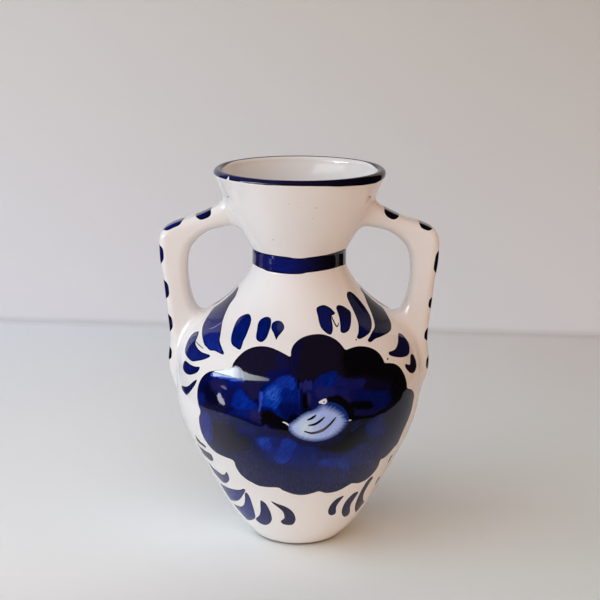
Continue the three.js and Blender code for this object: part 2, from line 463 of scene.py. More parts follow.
def paintedPatch(loopPixels, spacing, lift=0.0, edgeStep=0.45):
    # one brush stroke as a thin sheet on the wall, with the pixels and edge depth of its points
    onWall = ontoVase(keptOnVase(smoothLine(loopPixels, True, 0.5)))
    radius = np.hypot(onWall[:, 0], onWall[:, 1]).mean()
    loop = evenLoop(unrolled(onWall, radius), edgeStep)
    flat, triangles = fillLoop(loop, spacing)
    depth = np.maximum(depthInLoop(flat, loop), 0)
    skin = rolledUp(flat, radius)
    normal = skinNormal(skin)
    edgeShare = np.clip(depth / paintLayer["edgeSlope"], paintLayer["edgeThickness"], 1)
    outside = skin + normal * (edgeShare * paintLayer["thickness"] + lift)[:, None]
    points, faces = thickSheet(triangles, outside, skin - normal * paintLayer["sink"], normal)
    # at the outline the surface leans outwards
    leaning, nudge = normal.copy(), 0.2
    outer = np.flatnonzero(depth < 0.05)
    nearest = np.argmin(((flat[outer][:, None] - loop[None]) ** 2).sum(2), axis=1)
    along = (np.roll(loop, -1, axis=0) - np.roll(loop, 1, axis=0))[nearest]
    length = np.maximum(np.linalg.norm(along, axis=1), 1e-9)
    outward = np.stack([along[:, 1], -along[:, 0]], 1) / length[:, None]
    area = (loop[:, 0] * np.roll(loop[:, 1], -1) - np.roll(loop[:, 0], -1) * loop[:, 1]).sum()
    push = rolledUp(flat[outer] + outward * (nudge if area > 0 else -nudge), radius) - skin[outer]
    leaning[outer] += push / nudge * paintLayer["edgeTilt"]
    leaning /= np.linalg.norm(leaning, axis=1)[:, None]
    return {"points": points, "faces": faces, "normals": np.vstack([leaning, normal]), "flat": flat,
            "pixels": toPixels(skin), "depth": np.concatenate([depth, depth])}


def joined(patches):
    # several patches as one mesh. Whatever each keeps for its points is joined the same way
    faces, start = [], 0
    for patch in patches:
        faces += [[v + start for v in face] for face in patch["faces"]]
        start += len(patch["points"])
    points = np.vstack([patch["points"] for patch in patches])
    normals = np.vstack([patch["normals"] for patch in patches])
    keys = patches[0].get("values", {})
    values = {key: np.concatenate([patch["values"][key] for patch in patches]) for key in keys}
    return points, faces, normals, values


def paint(name, patches, material):
    points, faces, normals, values = joined(patches)
    newPiece(name, points, faces, material, normals=normals, values=values)


def edgeDarkened(tone, edge):
    return tone * (paintLayer["edgeShade"] + (1 - paintLayer["edgeShade"]) * edge)


def washValues(tone, paintedSheen, way, depth=None):
    # what the cobalt wash reads: tone 0 near black to 1 pale, painted sheen, and the way the brush went
    tone, paintedSheen = np.array(tone, float), np.array(paintedSheen, float) * np.ones(len(tone))
    if depth is not None:
        edge = np.clip(depth[:len(tone)] / paintLayer["darkEdge"], 0, 1)
        tone = edgeDarkened(tone, eased(edge))
        paintedSheen = paintedSheen * edge
    copies = 2 if depth is not None and len(depth) == 2 * len(tone) else 1
    return {"washTone": np.concatenate([tone] * copies), "washPaintedSheen": np.concatenate([paintedSheen] * copies),
            "brushWay": np.vstack([way] * copies)}


def brushWay(flat, angle, number):
    # along and across the brush, in the same units everywhere
    turn = math.radians(angle)
    along = flat[:, 0] * math.cos(turn) + flat[:, 1] * math.sin(turn)
    across = -flat[:, 0] * math.sin(turn) + flat[:, 1] * math.cos(turn)
    scale, shift = paintLayer["brushScale"], paintLayer["strokeShift"]
    return np.stack([along * scale, across * scale, np.full(len(flat), number * shift)], 1)


def longWay(flat):
    # the direction in degrees that a stroke mostly runs in
    spread = np.cov((flat - flat.mean(0)).T)
    values, vectors = np.linalg.eigh(spread)
    return math.degrees(math.atan2(vectors[1, 1], vectors[0, 1]))


def hairs(across, seed, shortest=1.6, longest=7.0):
    # the uneven ends that a brush's hairs leave
    rng = np.random.default_rng(seed)
    total = np.zeros(len(across))
    for _ in range(6):
        total += np.sin(across * 2 * math.pi / rng.uniform(shortest, longest) + rng.uniform(0, 6.3))
    return total / 3.5


# materials

def newMaterial(name):
    material = bpy.data.materials.new(name)
    material.use_nodes = True
    material.node_tree.nodes.clear()
    return material


def addNode(tree, kind, **settings):
    node = tree.nodes.new(kind)
    for key, value in settings.items():
        setattr(node, key, value)
    return node


def setInputs(node, **values):
    for key, value in values.items():
        node.inputs[key.replace("_", " ")].default_value = value


def mathNode(tree, operation, first, second=None, clamp=False):
    node = addNode(tree, "ShaderNodeMath", operation=operation, use_clamp=clamp)
    for socket, value in zip(node.inputs, (first, second)):
        if value is None:
            continue
        if isinstance(value, (int, float)):
            socket.default_value = value
        else:
            tree.links.new(value, socket)
    return node.outputs[0]


def mixColours(tree, amount, first, second, blend="MIX"):
    node = addNode(tree, "ShaderNodeMix", data_type="RGBA", blend_type=blend)
    for socket, value in ((node.inputs[0], amount), (node.inputs[6], first), (node.inputs[7], second)):
        if isinstance(value, (int, float)):
            socket.default_value = value
        elif isinstance(value, tuple):
            socket.default_value = (*value, 1) if len(value) == 3 else value
        else:
            tree.links.new(value, socket)
    return node.outputs[2]


def rampNode(tree, value, stops, interpolation="LINEAR"):
    node = addNode(tree, "ShaderNodeValToRGB")
    node.color_ramp.interpolation = interpolation
    elements = node.color_ramp.elements
    while len(elements) < len(stops):
        elements.new(0.5)
    for element, (position, colour) in zip(elements, stops):
        element.position = position
        element.color = (*colour, 1) if isinstance(colour, tuple) else (colour, colour, colour, 1)
    tree.links.new(value, node.inputs[0])
    return node.outputs[0]


def noiseNode(tree, where, scale, detail=2.0, roughness=0.5):
    node = addNode(tree, "ShaderNodeTexNoise")
    setInputs(node, Scale=scale, Detail=detail, Roughness=roughness)
    tree.links.new(where, node.inputs["Vector"])
    return node.outputs["Fac"]


def attributeNode(tree, name):
    return addNode(tree, "ShaderNodeAttribute", attribute_name=name)


def objectPlace(tree):
    return addNode(tree, "ShaderNodeTexCoord").outputs["Object"]


def alongAxis(tree, axis, start, end, first=0, last=1, change="LINEAR"):
    # goes from first to last as the place along an axis goes from start to end, in metres
    split = addNode(tree, "ShaderNodeSeparateXYZ")
    tree.links.new(objectPlace(tree), split.inputs[0])
    reached = addNode(tree, "ShaderNodeMapRange", interpolation_type=change)
    for socket, value in zip(list(reached.inputs)[1:5], (start, end, first, last)):
        socket.default_value = value
    tree.links.new(split.outputs[axis], reached.inputs[0])
    return reached.outputs[0]


firedSurface = {
    # scale, detail and roughness of each pattern
    "ripple": (42.0, 1.0, 0.5),
    "peel": (620.0, 2.0, 0.5),
    "cloud": (26.0, 3.0, 0.6),
    "peelHeight": 0.018,
    "glossChange": 0.05,
    "pinholeScale": 95.0,
    "pinholeRare": 0.965,    # share of the pattern's cells that stay without one
    "pinholeSize": 0.045,
    "pinholeDepth": 0.5,
}


def buildGlazeSkin(values):
    # the fired glass surface that white and blue share: slow ripples, fine orange peel, pinholes
    group = bpy.data.node_groups.new("glazeSkin", "ShaderNodeTree")
    for name, value in (("Ripple", 1.0), ("Peel", 1.0), ("Pinholes", 1.0), ("Gloss", 0.06)):
        socket = group.interface.new_socket(name, in_out="INPUT", socket_type="NodeSocketFloat")
        socket.default_value = value
    for name in ("Height", "Roughness", "Pin Mask", "Cloud"):
        group.interface.new_socket(name, in_out="OUTPUT", socket_type="NodeSocketFloat")
    inputs = addNode(group, "NodeGroupInput").outputs
    outputs = addNode(group, "NodeGroupOutput").inputs
    where = objectPlace(group)
    ripple, peel, cloud = (noiseNode(group, where, *values[key]) for key in ("ripple", "peel", "cloud"))
    cells = addNode(group, "ShaderNodeTexVoronoi", feature="F1", distance="EUCLIDEAN")
    setInputs(cells, Scale=values["pinholeScale"], Randomness=1.0)
    group.links.new(where, cells.inputs["Vector"])
    pick = addNode(group, "ShaderNodeSeparateColor")
    group.links.new(cells.outputs["Color"], pick.inputs[0])
    rare = mathNode(group, "GREATER_THAN", pick.outputs[0], values["pinholeRare"])
    size = mathNode(group, "MULTIPLY", pick.outputs[1], values["pinholeSize"])
    near = mathNode(group, "LESS_THAN", cells.outputs["Distance"], size)
    pin = mathNode(group, "MULTIPLY", mathNode(group, "MULTIPLY", rare, near), inputs["Pinholes"])
    rippled = mathNode(group, "MULTIPLY", ripple, inputs["Ripple"])
    peeled = mathNode(group, "MULTIPLY", mathNode(group, "MULTIPLY", peel, values["peelHeight"]),
                      inputs["Peel"])
    pitted = mathNode(group, "MULTIPLY", pin, values["pinholeDepth"])
    height = mathNode(group, "SUBTRACT", mathNode(group, "ADD", rippled, peeled), pitted)
    dulled = mathNode(group, "MULTIPLY", mathNode(group, "SUBTRACT", cloud, 0.5), values["glossChange"])
    group.links.new(height, outputs["Height"])
    group.links.new(mathNode(group, "ADD", inputs["Gloss"], dulled, clamp=True), outputs["Roughness"])
    group.links.new(pin, outputs["Pin Mask"])
    group.links.new(cloud, outputs["Cloud"])
    return group


glazeSkin = buildGlazeSkin(firedSurface)


def glazed(material, colour, ripple=1.0, peel=1.0, pinholes=1.0, gloss=0.06, depth=0.00016, mirror=0.5):
    # a Principled shader over the shared glaze skin. colour(tree, skin) gives its base colour
    tree = material.node_tree
    skin = addNode(tree, "ShaderNodeGroup", node_tree=glazeSkin)
    setInputs(skin, Ripple=ripple, Peel=peel, Pinholes=pinholes, Gloss=gloss)
    bump = addNode(tree, "ShaderNodeBump")
    setInputs(bump, Strength=1.0, Distance=depth)
    tree.links.new(skin.outputs["Height"], bump.inputs["Height"])
    shader = addNode(tree, "ShaderNodeBsdfPrincipled")
    setInputs(shader, IOR=1.5, Specular_IOR_Level=mirror)
    tree.links.new(bump.outputs["Normal"], shader.inputs["Normal"])
    tree.links.new(skin.outputs["Roughness"], shader.inputs["Roughness"])
    tree.links.new(colour(tree, skin), shader.inputs["Base Color"])
    output = addNode(tree, "ShaderNodeOutputMaterial")
    tree.links.new(shader.outputs[0], output.inputs[0])
    return material


whiteGlaze = {
    "milk": (0.83, 0.82, 0.815),
    "cream": (0.81, 0.785, 0.76),
    "pinhole": (0.16, 0.12, 0.10),
    "paintedLowLight": (0.93, 0.915, 0.90),   # painted light: lighter over the lowest part of the vase, for light bounced up from the table
    "paintedLowLightReach": (0.062, 0.008),   # metres up, where that starts and is full
}


def whiteColour(tree, skin):
    body = mixColours(tree, skin.outputs["Cloud"], whiteGlaze["milk"], whiteGlaze["cream"])
    # painted light: the white is lighter towards the bottom of the vase
    body = mixColours(tree, alongAxis(tree, "Z", *whiteGlaze["paintedLowLightReach"]), body, whiteGlaze["paintedLowLight"])
    return mixColours(tree, skin.outputs["Pin Mask"], body, whiteGlaze["pinhole"])


whiteMaterial = glazed(newMaterial("whiteTinGlaze"), whiteColour)

cobaltWash = {
    # colour by how thin the wash is, from a full brush to a nearly dry one
    "steps": [
        (0.0, (0.0008, 0.0008, 0.0013)), (0.15, (0.0009, 0.0014, 0.018)), (0.3, (0.0006, 0.0035, 0.070)),
        (0.5, (0.0008, 0.010, 0.16)), (0.7, (0.001, 0.022, 0.29)), (0.85, (0.004, 0.055, 0.42)),
        (1.0, (0.04, 0.12, 0.55))],
    # painted sheen: a grey veil added over the blue where the glaze would mirror the room
    "paintedSheen": (0.016, 0.011, 0.020),
    "hairs": 0.80,
    "hairStretch": 0.09,
    "hairScale": 0.9,
    "mottle": 0.24,
    "mottleScale": 230.0,
    "mirror": 0.46,
    "quietMirror": 0.15,     # the two leaves under the right handle mirror it only faintly
    "liveInPale": 0.85,      # share of the hairs and mottle that shows in the palest wash
    "liveInDark": 0.04,
}


def washColour(tree, skin):
    tone = attributeNode(tree, "washTone").outputs["Fac"]
    paintedSheen = attributeNode(tree, "washPaintedSheen").outputs["Fac"]
    brush = attributeNode(tree, "brushWay").outputs["Vector"]
    stretch = addNode(tree, "ShaderNodeVectorMath", operation="MULTIPLY")
    stretch.inputs[1].default_value = (cobaltWash["hairStretch"], 1.0, 1.0)
    tree.links.new(brush, stretch.inputs[0])
    strands = noiseNode(tree, stretch.outputs[0], cobaltWash["hairScale"], 3.0, 0.7)
    mottle = noiseNode(tree, objectPlace(tree), cobaltWash["mottleScale"], 3.0, 0.6)
    change = mathNode(tree, "MULTIPLY", mathNode(tree, "SUBTRACT", strands, 0.5), cobaltWash["hairs"] * 2)
    spots = mathNode(tree, "MULTIPLY", mathNode(tree, "SUBTRACT", mottle, 0.5), cobaltWash["mottle"] * 2)
    # hairs and mottle show less where the wash is dark
    live = mathNode(tree, "MULTIPLY", tone, cobaltWash["liveInPale"])
    live = mathNode(tree, "ADD", live, cobaltWash["liveInDark"], clamp=True)
    change = mathNode(tree, "MULTIPLY", mathNode(tree, "ADD", change, spots), live)
    tone = mathNode(tree, "ADD", tone, change, clamp=True)
    colour = rampNode(tree, tone, cobaltWash["steps"])
    # the painted sheen is added over the blue
    return mixColours(tree, paintedSheen, colour, cobaltWash["paintedSheen"], "ADD")


bareClay = {
    "body": (0.60, 0.47, 0.36),
    "grain": (0.42, 0.31, 0.23),
    "grainScale": 900.0,
    "gloss": 0.75,
}


def clayColour(tree, skin):
    grain = noiseNode(tree, objectPlace(tree), bareClay["grainScale"], 4.0, 0.7)
    return mixColours(tree, grain, bareClay["grain"], bareClay["body"])


clayMaterial = glazed(newMaterial("bareClay"), clayColour,
                      ripple=0.2, peel=2.0, pinholes=0.0, gloss=bareClay["gloss"])
washMaterial = glazed(newMaterial("cobaltWash"), washColour, pinholes=0.0, mirror=cobaltWash["mirror"])
quietMaterial = glazed(newMaterial("quietCobalt"), washColour,
                       pinholes=0.0, mirror=cobaltWash["quietMirror"])
print("glazes mixed")


# the thrown body: one wall from the foot ring to the neck, open above

thrownBody = {
    "segments": 288,
    "seamHeight": 137.8,     # where body and mouth meet
    "seamInside": 18.2,
    "footFrom": 0.75,        # height where the outside takes over from the foot's own outline
    # under the foot, in mm: reach from the ring's inner edge and height, then the same from its outer edge
    "underInner": [(-0.2, 0.3), (0.5, 0.12), (1.6, 0.1)],
    "underOuter": [(-0.9, 0.1), (-0.315, 0.13), (0.15, 0.35)],
    # and the part of the ring that is wiped bare of glaze
    "bareInner": [(0.35, 0.16), (0.9, 0.03), (1.6, 0)],
    "bareOuter": [(-0.9, 0), (-0.54, 0.05), (-0.315, 0.18), (-0.9, 0.6)],
    "bareBack": [(1.4, 0.6)],
    "outsideStep": 1.1,
    "insideStep": 3.0,
    "sharpAngle": 50,
}


def footOutline(*stretches):
    # each stretch is measured from an edge of the foot ring
    return [(edge + reach, height) for edge, spots in stretches for reach, height in spots]


def buildBody():
    seam, segments, sharp = thrownBody["seamHeight"], thrownBody["segments"], thrownBody["sharpAngle"]
    outer = outsideLine[outsideLine[:, 1] < seam]
    outer = np.vstack([evenSteps(outer, thrownBody["outsideStep"]), [(skinRadius(seam), seam)]])
    outer = outer[outer[:, 1] > thrownBody["footFrom"]]
    inner = insideLine[insideLine[:, 1] < seam]
    inner = evenSteps(inner[::-1], thrownBody["insideStep"])
    inner[-1] = (0, vaseShape["floorTop"])
    foot, recess = vaseShape["footRadius"], vaseShape["footRecess"]
    ring = foot - vaseShape["footRing"]
    # from the middle of the recess, over the ring and round to the outside
    under = [(0, recess), (ring - 3, recess), (ring - 1.2, recess - 0.15)]
    under += footOutline((ring, thrownBody["underInner"]), (foot, thrownBody["underOuter"]))
    points, faces = turned(np.vstack([under, outer, [(thrownBody["seamInside"], seam)], inner]),
                           segments, False)
    bare = footOutline((ring, thrownBody["bareInner"]), (foot, thrownBody["bareOuter"]),
                       (ring, thrownBody["bareBack"]))
    footPoints, footFaces = turned(bare, segments, True)
    newPiece("bareFootRing", footPoints, footFaces, clayMaterial, sharpAngle=sharp)
    newPiece("thrownBody", points, faces, whiteMaterial, ("foot", "belly"), sharpAngle=sharp)


def buildMouth():
    seam = thrownBody["seamHeight"]
    outer = outsideLine[outsideLine[:, 1] > seam]
    outer = np.vstack([[(skinRadius(seam), seam)], evenSteps(outer, 1.0)])
    inner = evenSteps(insideLine[insideLine[:, 1] > seam][::-1], 1.5)
    line = np.vstack([outer[:-1], lipArc, inner[1:], [(thrownBody["seamInside"], seam)]])
    points, faces = turned(line, thrownBody["segments"], True)
    newPiece("flaredMouth", points, faces, whiteMaterial, ("mouth", "neck_collar"),
             sharpAngle=thrownBody["sharpAngle"])


buildBody()
buildMouth()
print("body and mouth thrown")


# blue line on the lip and blue band round the neck

rimLine = {
    "segments": 576,
    "outerEdge": -3.0,       # degrees round the lip, from level with its middle outside
    "outerWander": 7.0,
    # how much lower or higher the outer edge is, by azimuth from the front, left below zero
    "outerShift": [
        (-180, 0), (-60, 2), (-25, 3), (0, 1), (13, -3), (27, -20), (44, -34), (60, -41), (80, -22),
        (110, 0), (180, 0)],
    "innerEdge": (150.0, 114.0, 164.0),      # at the sides, at the back and in front
    "innerWander": 3.0,
    "backReach": 52,         # degrees to each side that count as the back, and as the front
    "frontReach": 75,
    "blend": 30,
    "nick": (-53.6, 46.0, 0.55),     # where a bubble left the lip white: azimuth, degrees up, mm wide
    "rows": 18,
    "rowWidth": 0.3,
    "rise": 0.05,
    "edgeRise": 0.1,
    "sink": 0.4,
    "hairReach": 40,
    # azimuth and tone, azimuth and painted sheen. Both are painted light: paler and more veiled on the lit
    # left, darkest on the shaded right
    "tones": [(-180, 0.12), (-110, 0.18), (-80, 0.30), (-50, 0.30), (-20, 0.20), (10, 0.12), (40, 0.05),
              (80, 0.03), (120, 0.06), (180, 0.12)],
    "paintedSheens": [(-180, 0.3), (-90, 0.6), (-40, 0.8), (0, 0.4), (50, 0.0), (180, 0.3)],
}


def ringNoise(angles, seed, waves):
    # a smooth wander that closes on itself round the vase
    rng = np.random.default_rng(seed)
    total = np.zeros(len(angles))
    for n in waves:
        total += np.cos(n * angles + rng.uniform(0, 2 * math.pi)) * rng.uniform(0.4, 1.0) / math.sqrt(n)
    return total / 1.6


def ringSheet(rows):
    # a closed ring from rows of points round the vase: first the outside, then back inside
    count, segments = len(rows), rows[0].shape[0]
    faces = []
    for i in range(count):
        n = (i + 1) % count
        for j in range(segments):
            k = (j + 1) % segments
            faces.append([i * segments + j, i * segments + k, n * segments + k, n * segments + j])
    return np.vstack(rows), faces


def turnedFromFront(angles):
    # the same angles from half a turn to the left, below zero, to half a turn to the right
    return (angles + math.pi) % (2 * math.pi) - math.pi


def paintedRing(name, values, angles, place, node):
    # place(share, rise) gives reach and height of a row, from the lower edge to the upper one
    last = values["rows"]
    rows, depths = [], []
    for outside, order in ((True, range(last + 1)), (False, range(last, -1, -1))):
        for i in order:
            share = i / last
            edge = min(share, 1 - share) * last
            rise = values["rise"] * min(edge / 2 + values["edgeRise"], 1) if outside else -values["sink"]
            reach, height = place(share, rise)
            rows.append(roundAxis(reach, angles, height))
            depths.append(np.full(len(angles), edge * values["rowWidth"]))
    points, faces = ringSheet(rows)
    degrees = np.degrees(turnedFromFront(angles))
    copies = len(rows)
    tone = np.tile(np.interp(degrees, *zip(*values["tones"])), copies)
    paintedSheen = np.tile(np.interp(degrees, *zip(*values["paintedSheens"])), copies)
    edge = np.clip(np.concatenate(depths) / paintLayer["darkEdge"], 0, 1)
    along = angles * values["hairReach"] * paintLayer["brushScale"]
    way = np.stack([np.tile(along, copies), np.repeat(np.arange(copies) * 0.9, len(angles)),
                    np.zeros(len(points))], 1)
    newPiece(name, points, faces, washMaterial, (node,),
             values=washValues(edgeDarkened(tone, edge), paintedSheen * edge, way), sharpAngle=60)


def buildRim():
    angles = np.arange(rimLine["segments"]) * 2 * math.pi / rimLine["segments"]
    degrees = np.degrees(turnedFromFront(angles))
    low = rimLine["outerEdge"] + rimLine["outerWander"] * ringNoise(angles, 3, (3, 5, 9, 14, 23, 31))
    low = low + np.interp(degrees, *zip(*rimLine["outerShift"]))
    spot, lift, width = rimLine["nick"]
    away = np.radians(degrees - spot) * vaseShape["mouthRadius"] / width
    low = low + lift * np.exp(-away * away)
    side, back, front = rimLine["innerEdge"]
    atSides = eased(np.clip((180 - np.abs(degrees) - rimLine["backReach"]) / rimLine["blend"], 0, 1))
    inFront = np.clip((rimLine["frontReach"] - np.abs(degrees)) / rimLine["blend"], 0, 1)
    high = back + (side - back) * atSides + rimLine["innerWander"] * ringNoise(angles, 5, (2, 5, 8, 13, 21))
    high = high + (front - side) * inFront
    radius = vaseShape["lip"] / 2
    wallTurn = math.atan2(lipArc[0][1] - lipMiddle[1], lipArc[0][0] - lipMiddle[0])

    def onLip(share, rise):
        turn = np.radians(low + (high - low) * share)
        # below the round of the lip the paint goes on down the wall
        held = np.maximum(turn, wallTurn)
        down = (held - turn) * radius
        reach = lipMiddle[0] + (radius + rise) * np.cos(held) + down * math.sin(wallTurn)
        return reach, lipMiddle[1] + (radius + rise) * np.sin(held) - down * math.cos(wallTurn)

    paintedRing("rimLine", rimLine, angles, onLip, "rim_enamel")


neckBand = {
    "upperPixels": [
        (250.1, 247.3), (262.9, 252.8), (282.8, 256.3), (302.8, 257.9), (330.7, 253.6), (345.4, 248.6)],
    "lowerPixels": [
        (250.9, 261.5), (258.9, 267.5), (270.9, 271.9), (294.8, 274.4), (326.7, 269.9), (345.4, 264.6)],
    "seenTurn": 1.1,         # radians to each side where those pixels hold, and over which they blend out
    "blend": 0.5,
    "backWander": 0.25,
    "rows": 14,
    "rowWidth": 0.55,
    "rise": 0.07,
    "edgeRise": 0.15,
    "sink": 0.4,
    "hairReach": 22,
    # azimuth and tone, azimuth and painted sheen: painted light, paler and more veiled towards the lit left,
    # near black on the shaded right
    "tones": [(-180, 0.25), (-90, 0.2), (-60, 0.30), (-30, 0.42), (-8, 0.38), (8, 0.26), (22, 0.16),
              (34, 0.04), (60, 0.02), (90, 0.05), (180, 0.25)],
    "paintedSheens": [(-180, 0.2), (-60, 0.5), (-20, 0.2), (10, 0.3), (40, 0.1), (180, 0.2)],
}


def bandEdge(pixels, angles, seed):
    # height of a painted edge round the vase: the photograph's in front, a like wander behind
    seen = ontoVase(smoothLine(pixels, False, 2.0))
    seenAngle = np.arctan2(seen[:, 0], -seen[:, 1])
    order = np.argsort(seenAngle)
    seenAngle, seenHeight = seenAngle[order], seen[order, 2]
    around = turnedFromFront(angles)
    front = np.interp(around, seenAngle, seenHeight)
    back = seenHeight.mean() + neckBand["backWander"] * ringNoise(angles, seed, (2, 3, 5, 8))
    share = eased(np.clip((np.abs(around) - neckBand["seenTurn"]) / neckBand["blend"], 0, 1))
    return front * (1 - share) + back * share


def buildNeckBand():
    angles = np.arange(thrownBody["segments"]) * 2 * math.pi / thrownBody["segments"]
    low = bandEdge(neckBand["lowerPixels"], angles, 11)
    high = bandEdge(neckBand["upperPixels"], angles, 12)

    def onNeck(share, rise):
        height = low + (high - low) * share
        return skinRadius(height) + rise, height

    paintedRing("neckBand", neckBand, angles, onNeck, "neck_enamel")


buildRim()
buildNeckBand()
print("rim line and neck band painted")


# handles: straps with rounded edges, luted to the wall with a soft fillet

handleStrap = {
    # outer and inner edge in the plane of the handles, from the mouth to the belly
    "outer": [
        (27, 167), (32, 165.9), (35.9, 163.9), (40.5, 161.1), (46.6, 158.1), (53, 155.9), (59.5, 153.6),
        (63.3, 151.4), (65.2, 149.1), (66.0, 146), (66.05, 141.5), (65.6, 134.7), (64.2, 126), (63.4, 118),
        (62.6, 110.5), (61.9, 103.8), (61.6, 97.5), (62.1, 92), (62.4, 88), (62.1, 84), (61, 80.5),
        (59, 77), (56, 73)],
    "inner": [
        (22, 153.5), (30, 153.0), (34.2, 152.2), (39, 151.2), (42.6, 150.0), (45.6, 148.1), (48, 146.1),
        (50.5, 143.0), (52, 139.4), (52.6, 134.7), (52.6, 130), (52.2, 125), (51.5, 121), (50.4, 117),
        (49, 114), (47.7, 112.1), (45.5, 110.5), (44, 107), (46, 99), (49, 90), (51, 80), (51, 73)],
    "halfDepth": 6.2,
    "outerRound": 3.4,
    "innerRound": 5.2,
    "fillet": 5.0,
    "filletFade": (0.8, 0.7),    # shares of the fillet: where it starts to die out, and over how much
    "clayGap": 0.03,
    "grain": 0.62,           # size of the sculpting grid
    "block": ((26, 68), (-11.5, 11.6), (68, 172)),
    "sunk": 2.0,
}


def softMin(a, b, reach):
    mix = np.maximum(reach - np.abs(a - b), 0) / reach
    return np.minimum(a, b) - mix * mix * reach / 4


outerEdge = smoothLine(handleStrap["outer"], False, 1.0)
innerEdge = smoothLine(handleStrap["inner"], False, 1.0)
strapLoop = np.vstack([outerEdge, innerEdge[::-1]])


def gapToWall(points):
    # distance out from the wall, close enough within a fillet's reach
    height = points[..., 2]
    slope = wallSlope(height)
    return (np.hypot(points[..., 0], points[..., 1]) - skinRadius(height)) / np.sqrt(1 + slope * slope)


def strapOutline(flat):
    # distance to the strap's outline in the plane of the handles, and how round its edge is there
    toOuter = distanceToLine(flat, outerEdge)
    toInner = distanceToLine(flat, innerEdge)
    edge = np.minimum(toOuter, toInner)
    edge = np.where(insideLoop(flat, strapLoop), -edge, edge)
    share = toInner / (toOuter + toInner + 1e-9)
    return edge, handleStrap["innerRound"] + (handleStrap["outerRound"] - handleStrap["innerRound"]) * share


def gapToStrap(edge, corner, across):
    outX, outY = edge + corner, np.abs(across) - handleStrap["halfDepth"] + corner
    outside = np.hypot(np.maximum(outX, 0), np.maximum(outY, 0))
    return outside + np.minimum(np.maximum(outX, outY), 0) - corner


def gapToHandle(wall, strap):
    reach, (start, over) = handleStrap["fillet"], handleStrap["filletFade"]
    fade = np.clip((strap - start * reach) / (over * reach), 0, 1)
    return softMin(strap, wall, reach) + handleStrap["clayGap"] + 3 * fade * fade


def handleField(points):
    edge, corner = strapOutline(points[:, [0, 2]])
    return gapToHandle(gapToWall(points), gapToStrap(edge, corner, points[:, 1]))


def sculpt(value, grid):
    # a closed quad mesh where the value changes sign, one point to each mixed cell
    shape = value.shape
    solid = value < 0
    unit = np.eye(3, dtype=int)
    cells = tuple(n - 1 for n in shape)
    total, count = np.zeros(cells + (3,)), np.zeros(cells)

    def cut(numbers, corner):
        return numbers[tuple(slice(corner[k], corner[k] + cells[k]) for k in range(3))]

    for a in [(i, j, k) for i in (0, 1) for j in (0, 1) for k in (0, 1)]:
        for axis in range(3):
            if a[axis]:
                continue
            b = tuple(a[k] + (k == axis) for k in range(3))
            va, vb = cut(value, a), cut(value, b)
            mixed = (va < 0) != (vb < 0)
            share = np.where(mixed, va / np.where(mixed, va - vb, 1), 0)
            spot = cut(grid, a) + (cut(grid, b) - cut(grid, a)) * share[..., None]
            total += np.where(mixed[..., None], spot, 0)
            count += mixed
    used = count > 0
    number = np.full(cells, -1)
    number[used] = np.arange(used.sum())
    points = total[used] / count[used][:, None]
    faces = []
    for axis in range(3):
        u, v = [k for k in range(3) if k != axis]
        low = [slice(1, shape[k] - 1) for k in range(3)]
        low[axis] = slice(0, shape[axis] - 1)
        up = list(low)
        up[axis] = slice(1, shape[axis])
        change = solid[tuple(low)] != solid[tuple(up)]
        outward = solid[tuple(low)][change]
        where = np.argwhere(change) + unit[u] + unit[v]
        around = [number[tuple((where - unit[u] * du - unit[v] * dv).T)]
                  for du, dv in ((1, 1), (0, 1), (0, 0), (1, 0))]
        quad = np.stack(around, 1)
        flip = outward if axis != 1 else ~outward
        quad[~flip] = quad[~flip][:, ::-1]
        faces.append(quad)
    return points, np.vstack(faces)


def fieldSlope(field, points, step=0.05):
    here = field(points)
    slope = np.stack([field(points + np.eye(3)[k] * step) - here for k in range(3)], 1) / step
    return here, slope


def ontoField(field, points, rounds):
    for _ in range(rounds):
        here, slope = fieldSlope(field, points)
        size = np.maximum((slope ** 2).sum(1), 0.05)
        points = points - slope * np.clip(here / size, -0.6, 0.6)[:, None]
    return points


def sculptHandle():
    grain = handleStrap["grain"]
    axes = [np.arange(low, high, grain) for low, high in handleStrap["block"]]
    grid = np.stack(np.meshgrid(*axes, indexing="ij"), -1)
    flat = grid[:, 0][:, :, [0, 2]]
    edge, corner = (v.reshape(flat.shape[:2])[:, None, :] for v in strapOutline(flat.reshape(-1, 2)))
    wall = gapToWall(grid)
    value = gapToHandle(wall, gapToStrap(edge, corner, grid[..., 1]))
    points, faces = sculpt(np.maximum(value, -(wall + handleStrap["sunk"])), grid)
    skin = gapToWall(points) > -handleStrap["sunk"] + 0.4
    points[skin] = ontoField(handleField, points[skin], 2)
    return points, faces.tolist()


handlePoints, handleFaces = sculptHandle()
print("handle sculpted:", len(handlePoints), "points")


def otherSide(points):
    # the left handle is the right one turned half round the axis
    return points * np.array([-1, -1, 1])


newPiece("handleRight", handlePoints, handleFaces, whiteMaterial, ("handle_right",))
newPiece("handleLeft", otherSide(handlePoints), handleFaces, whiteMaterial, ("handle_left",))


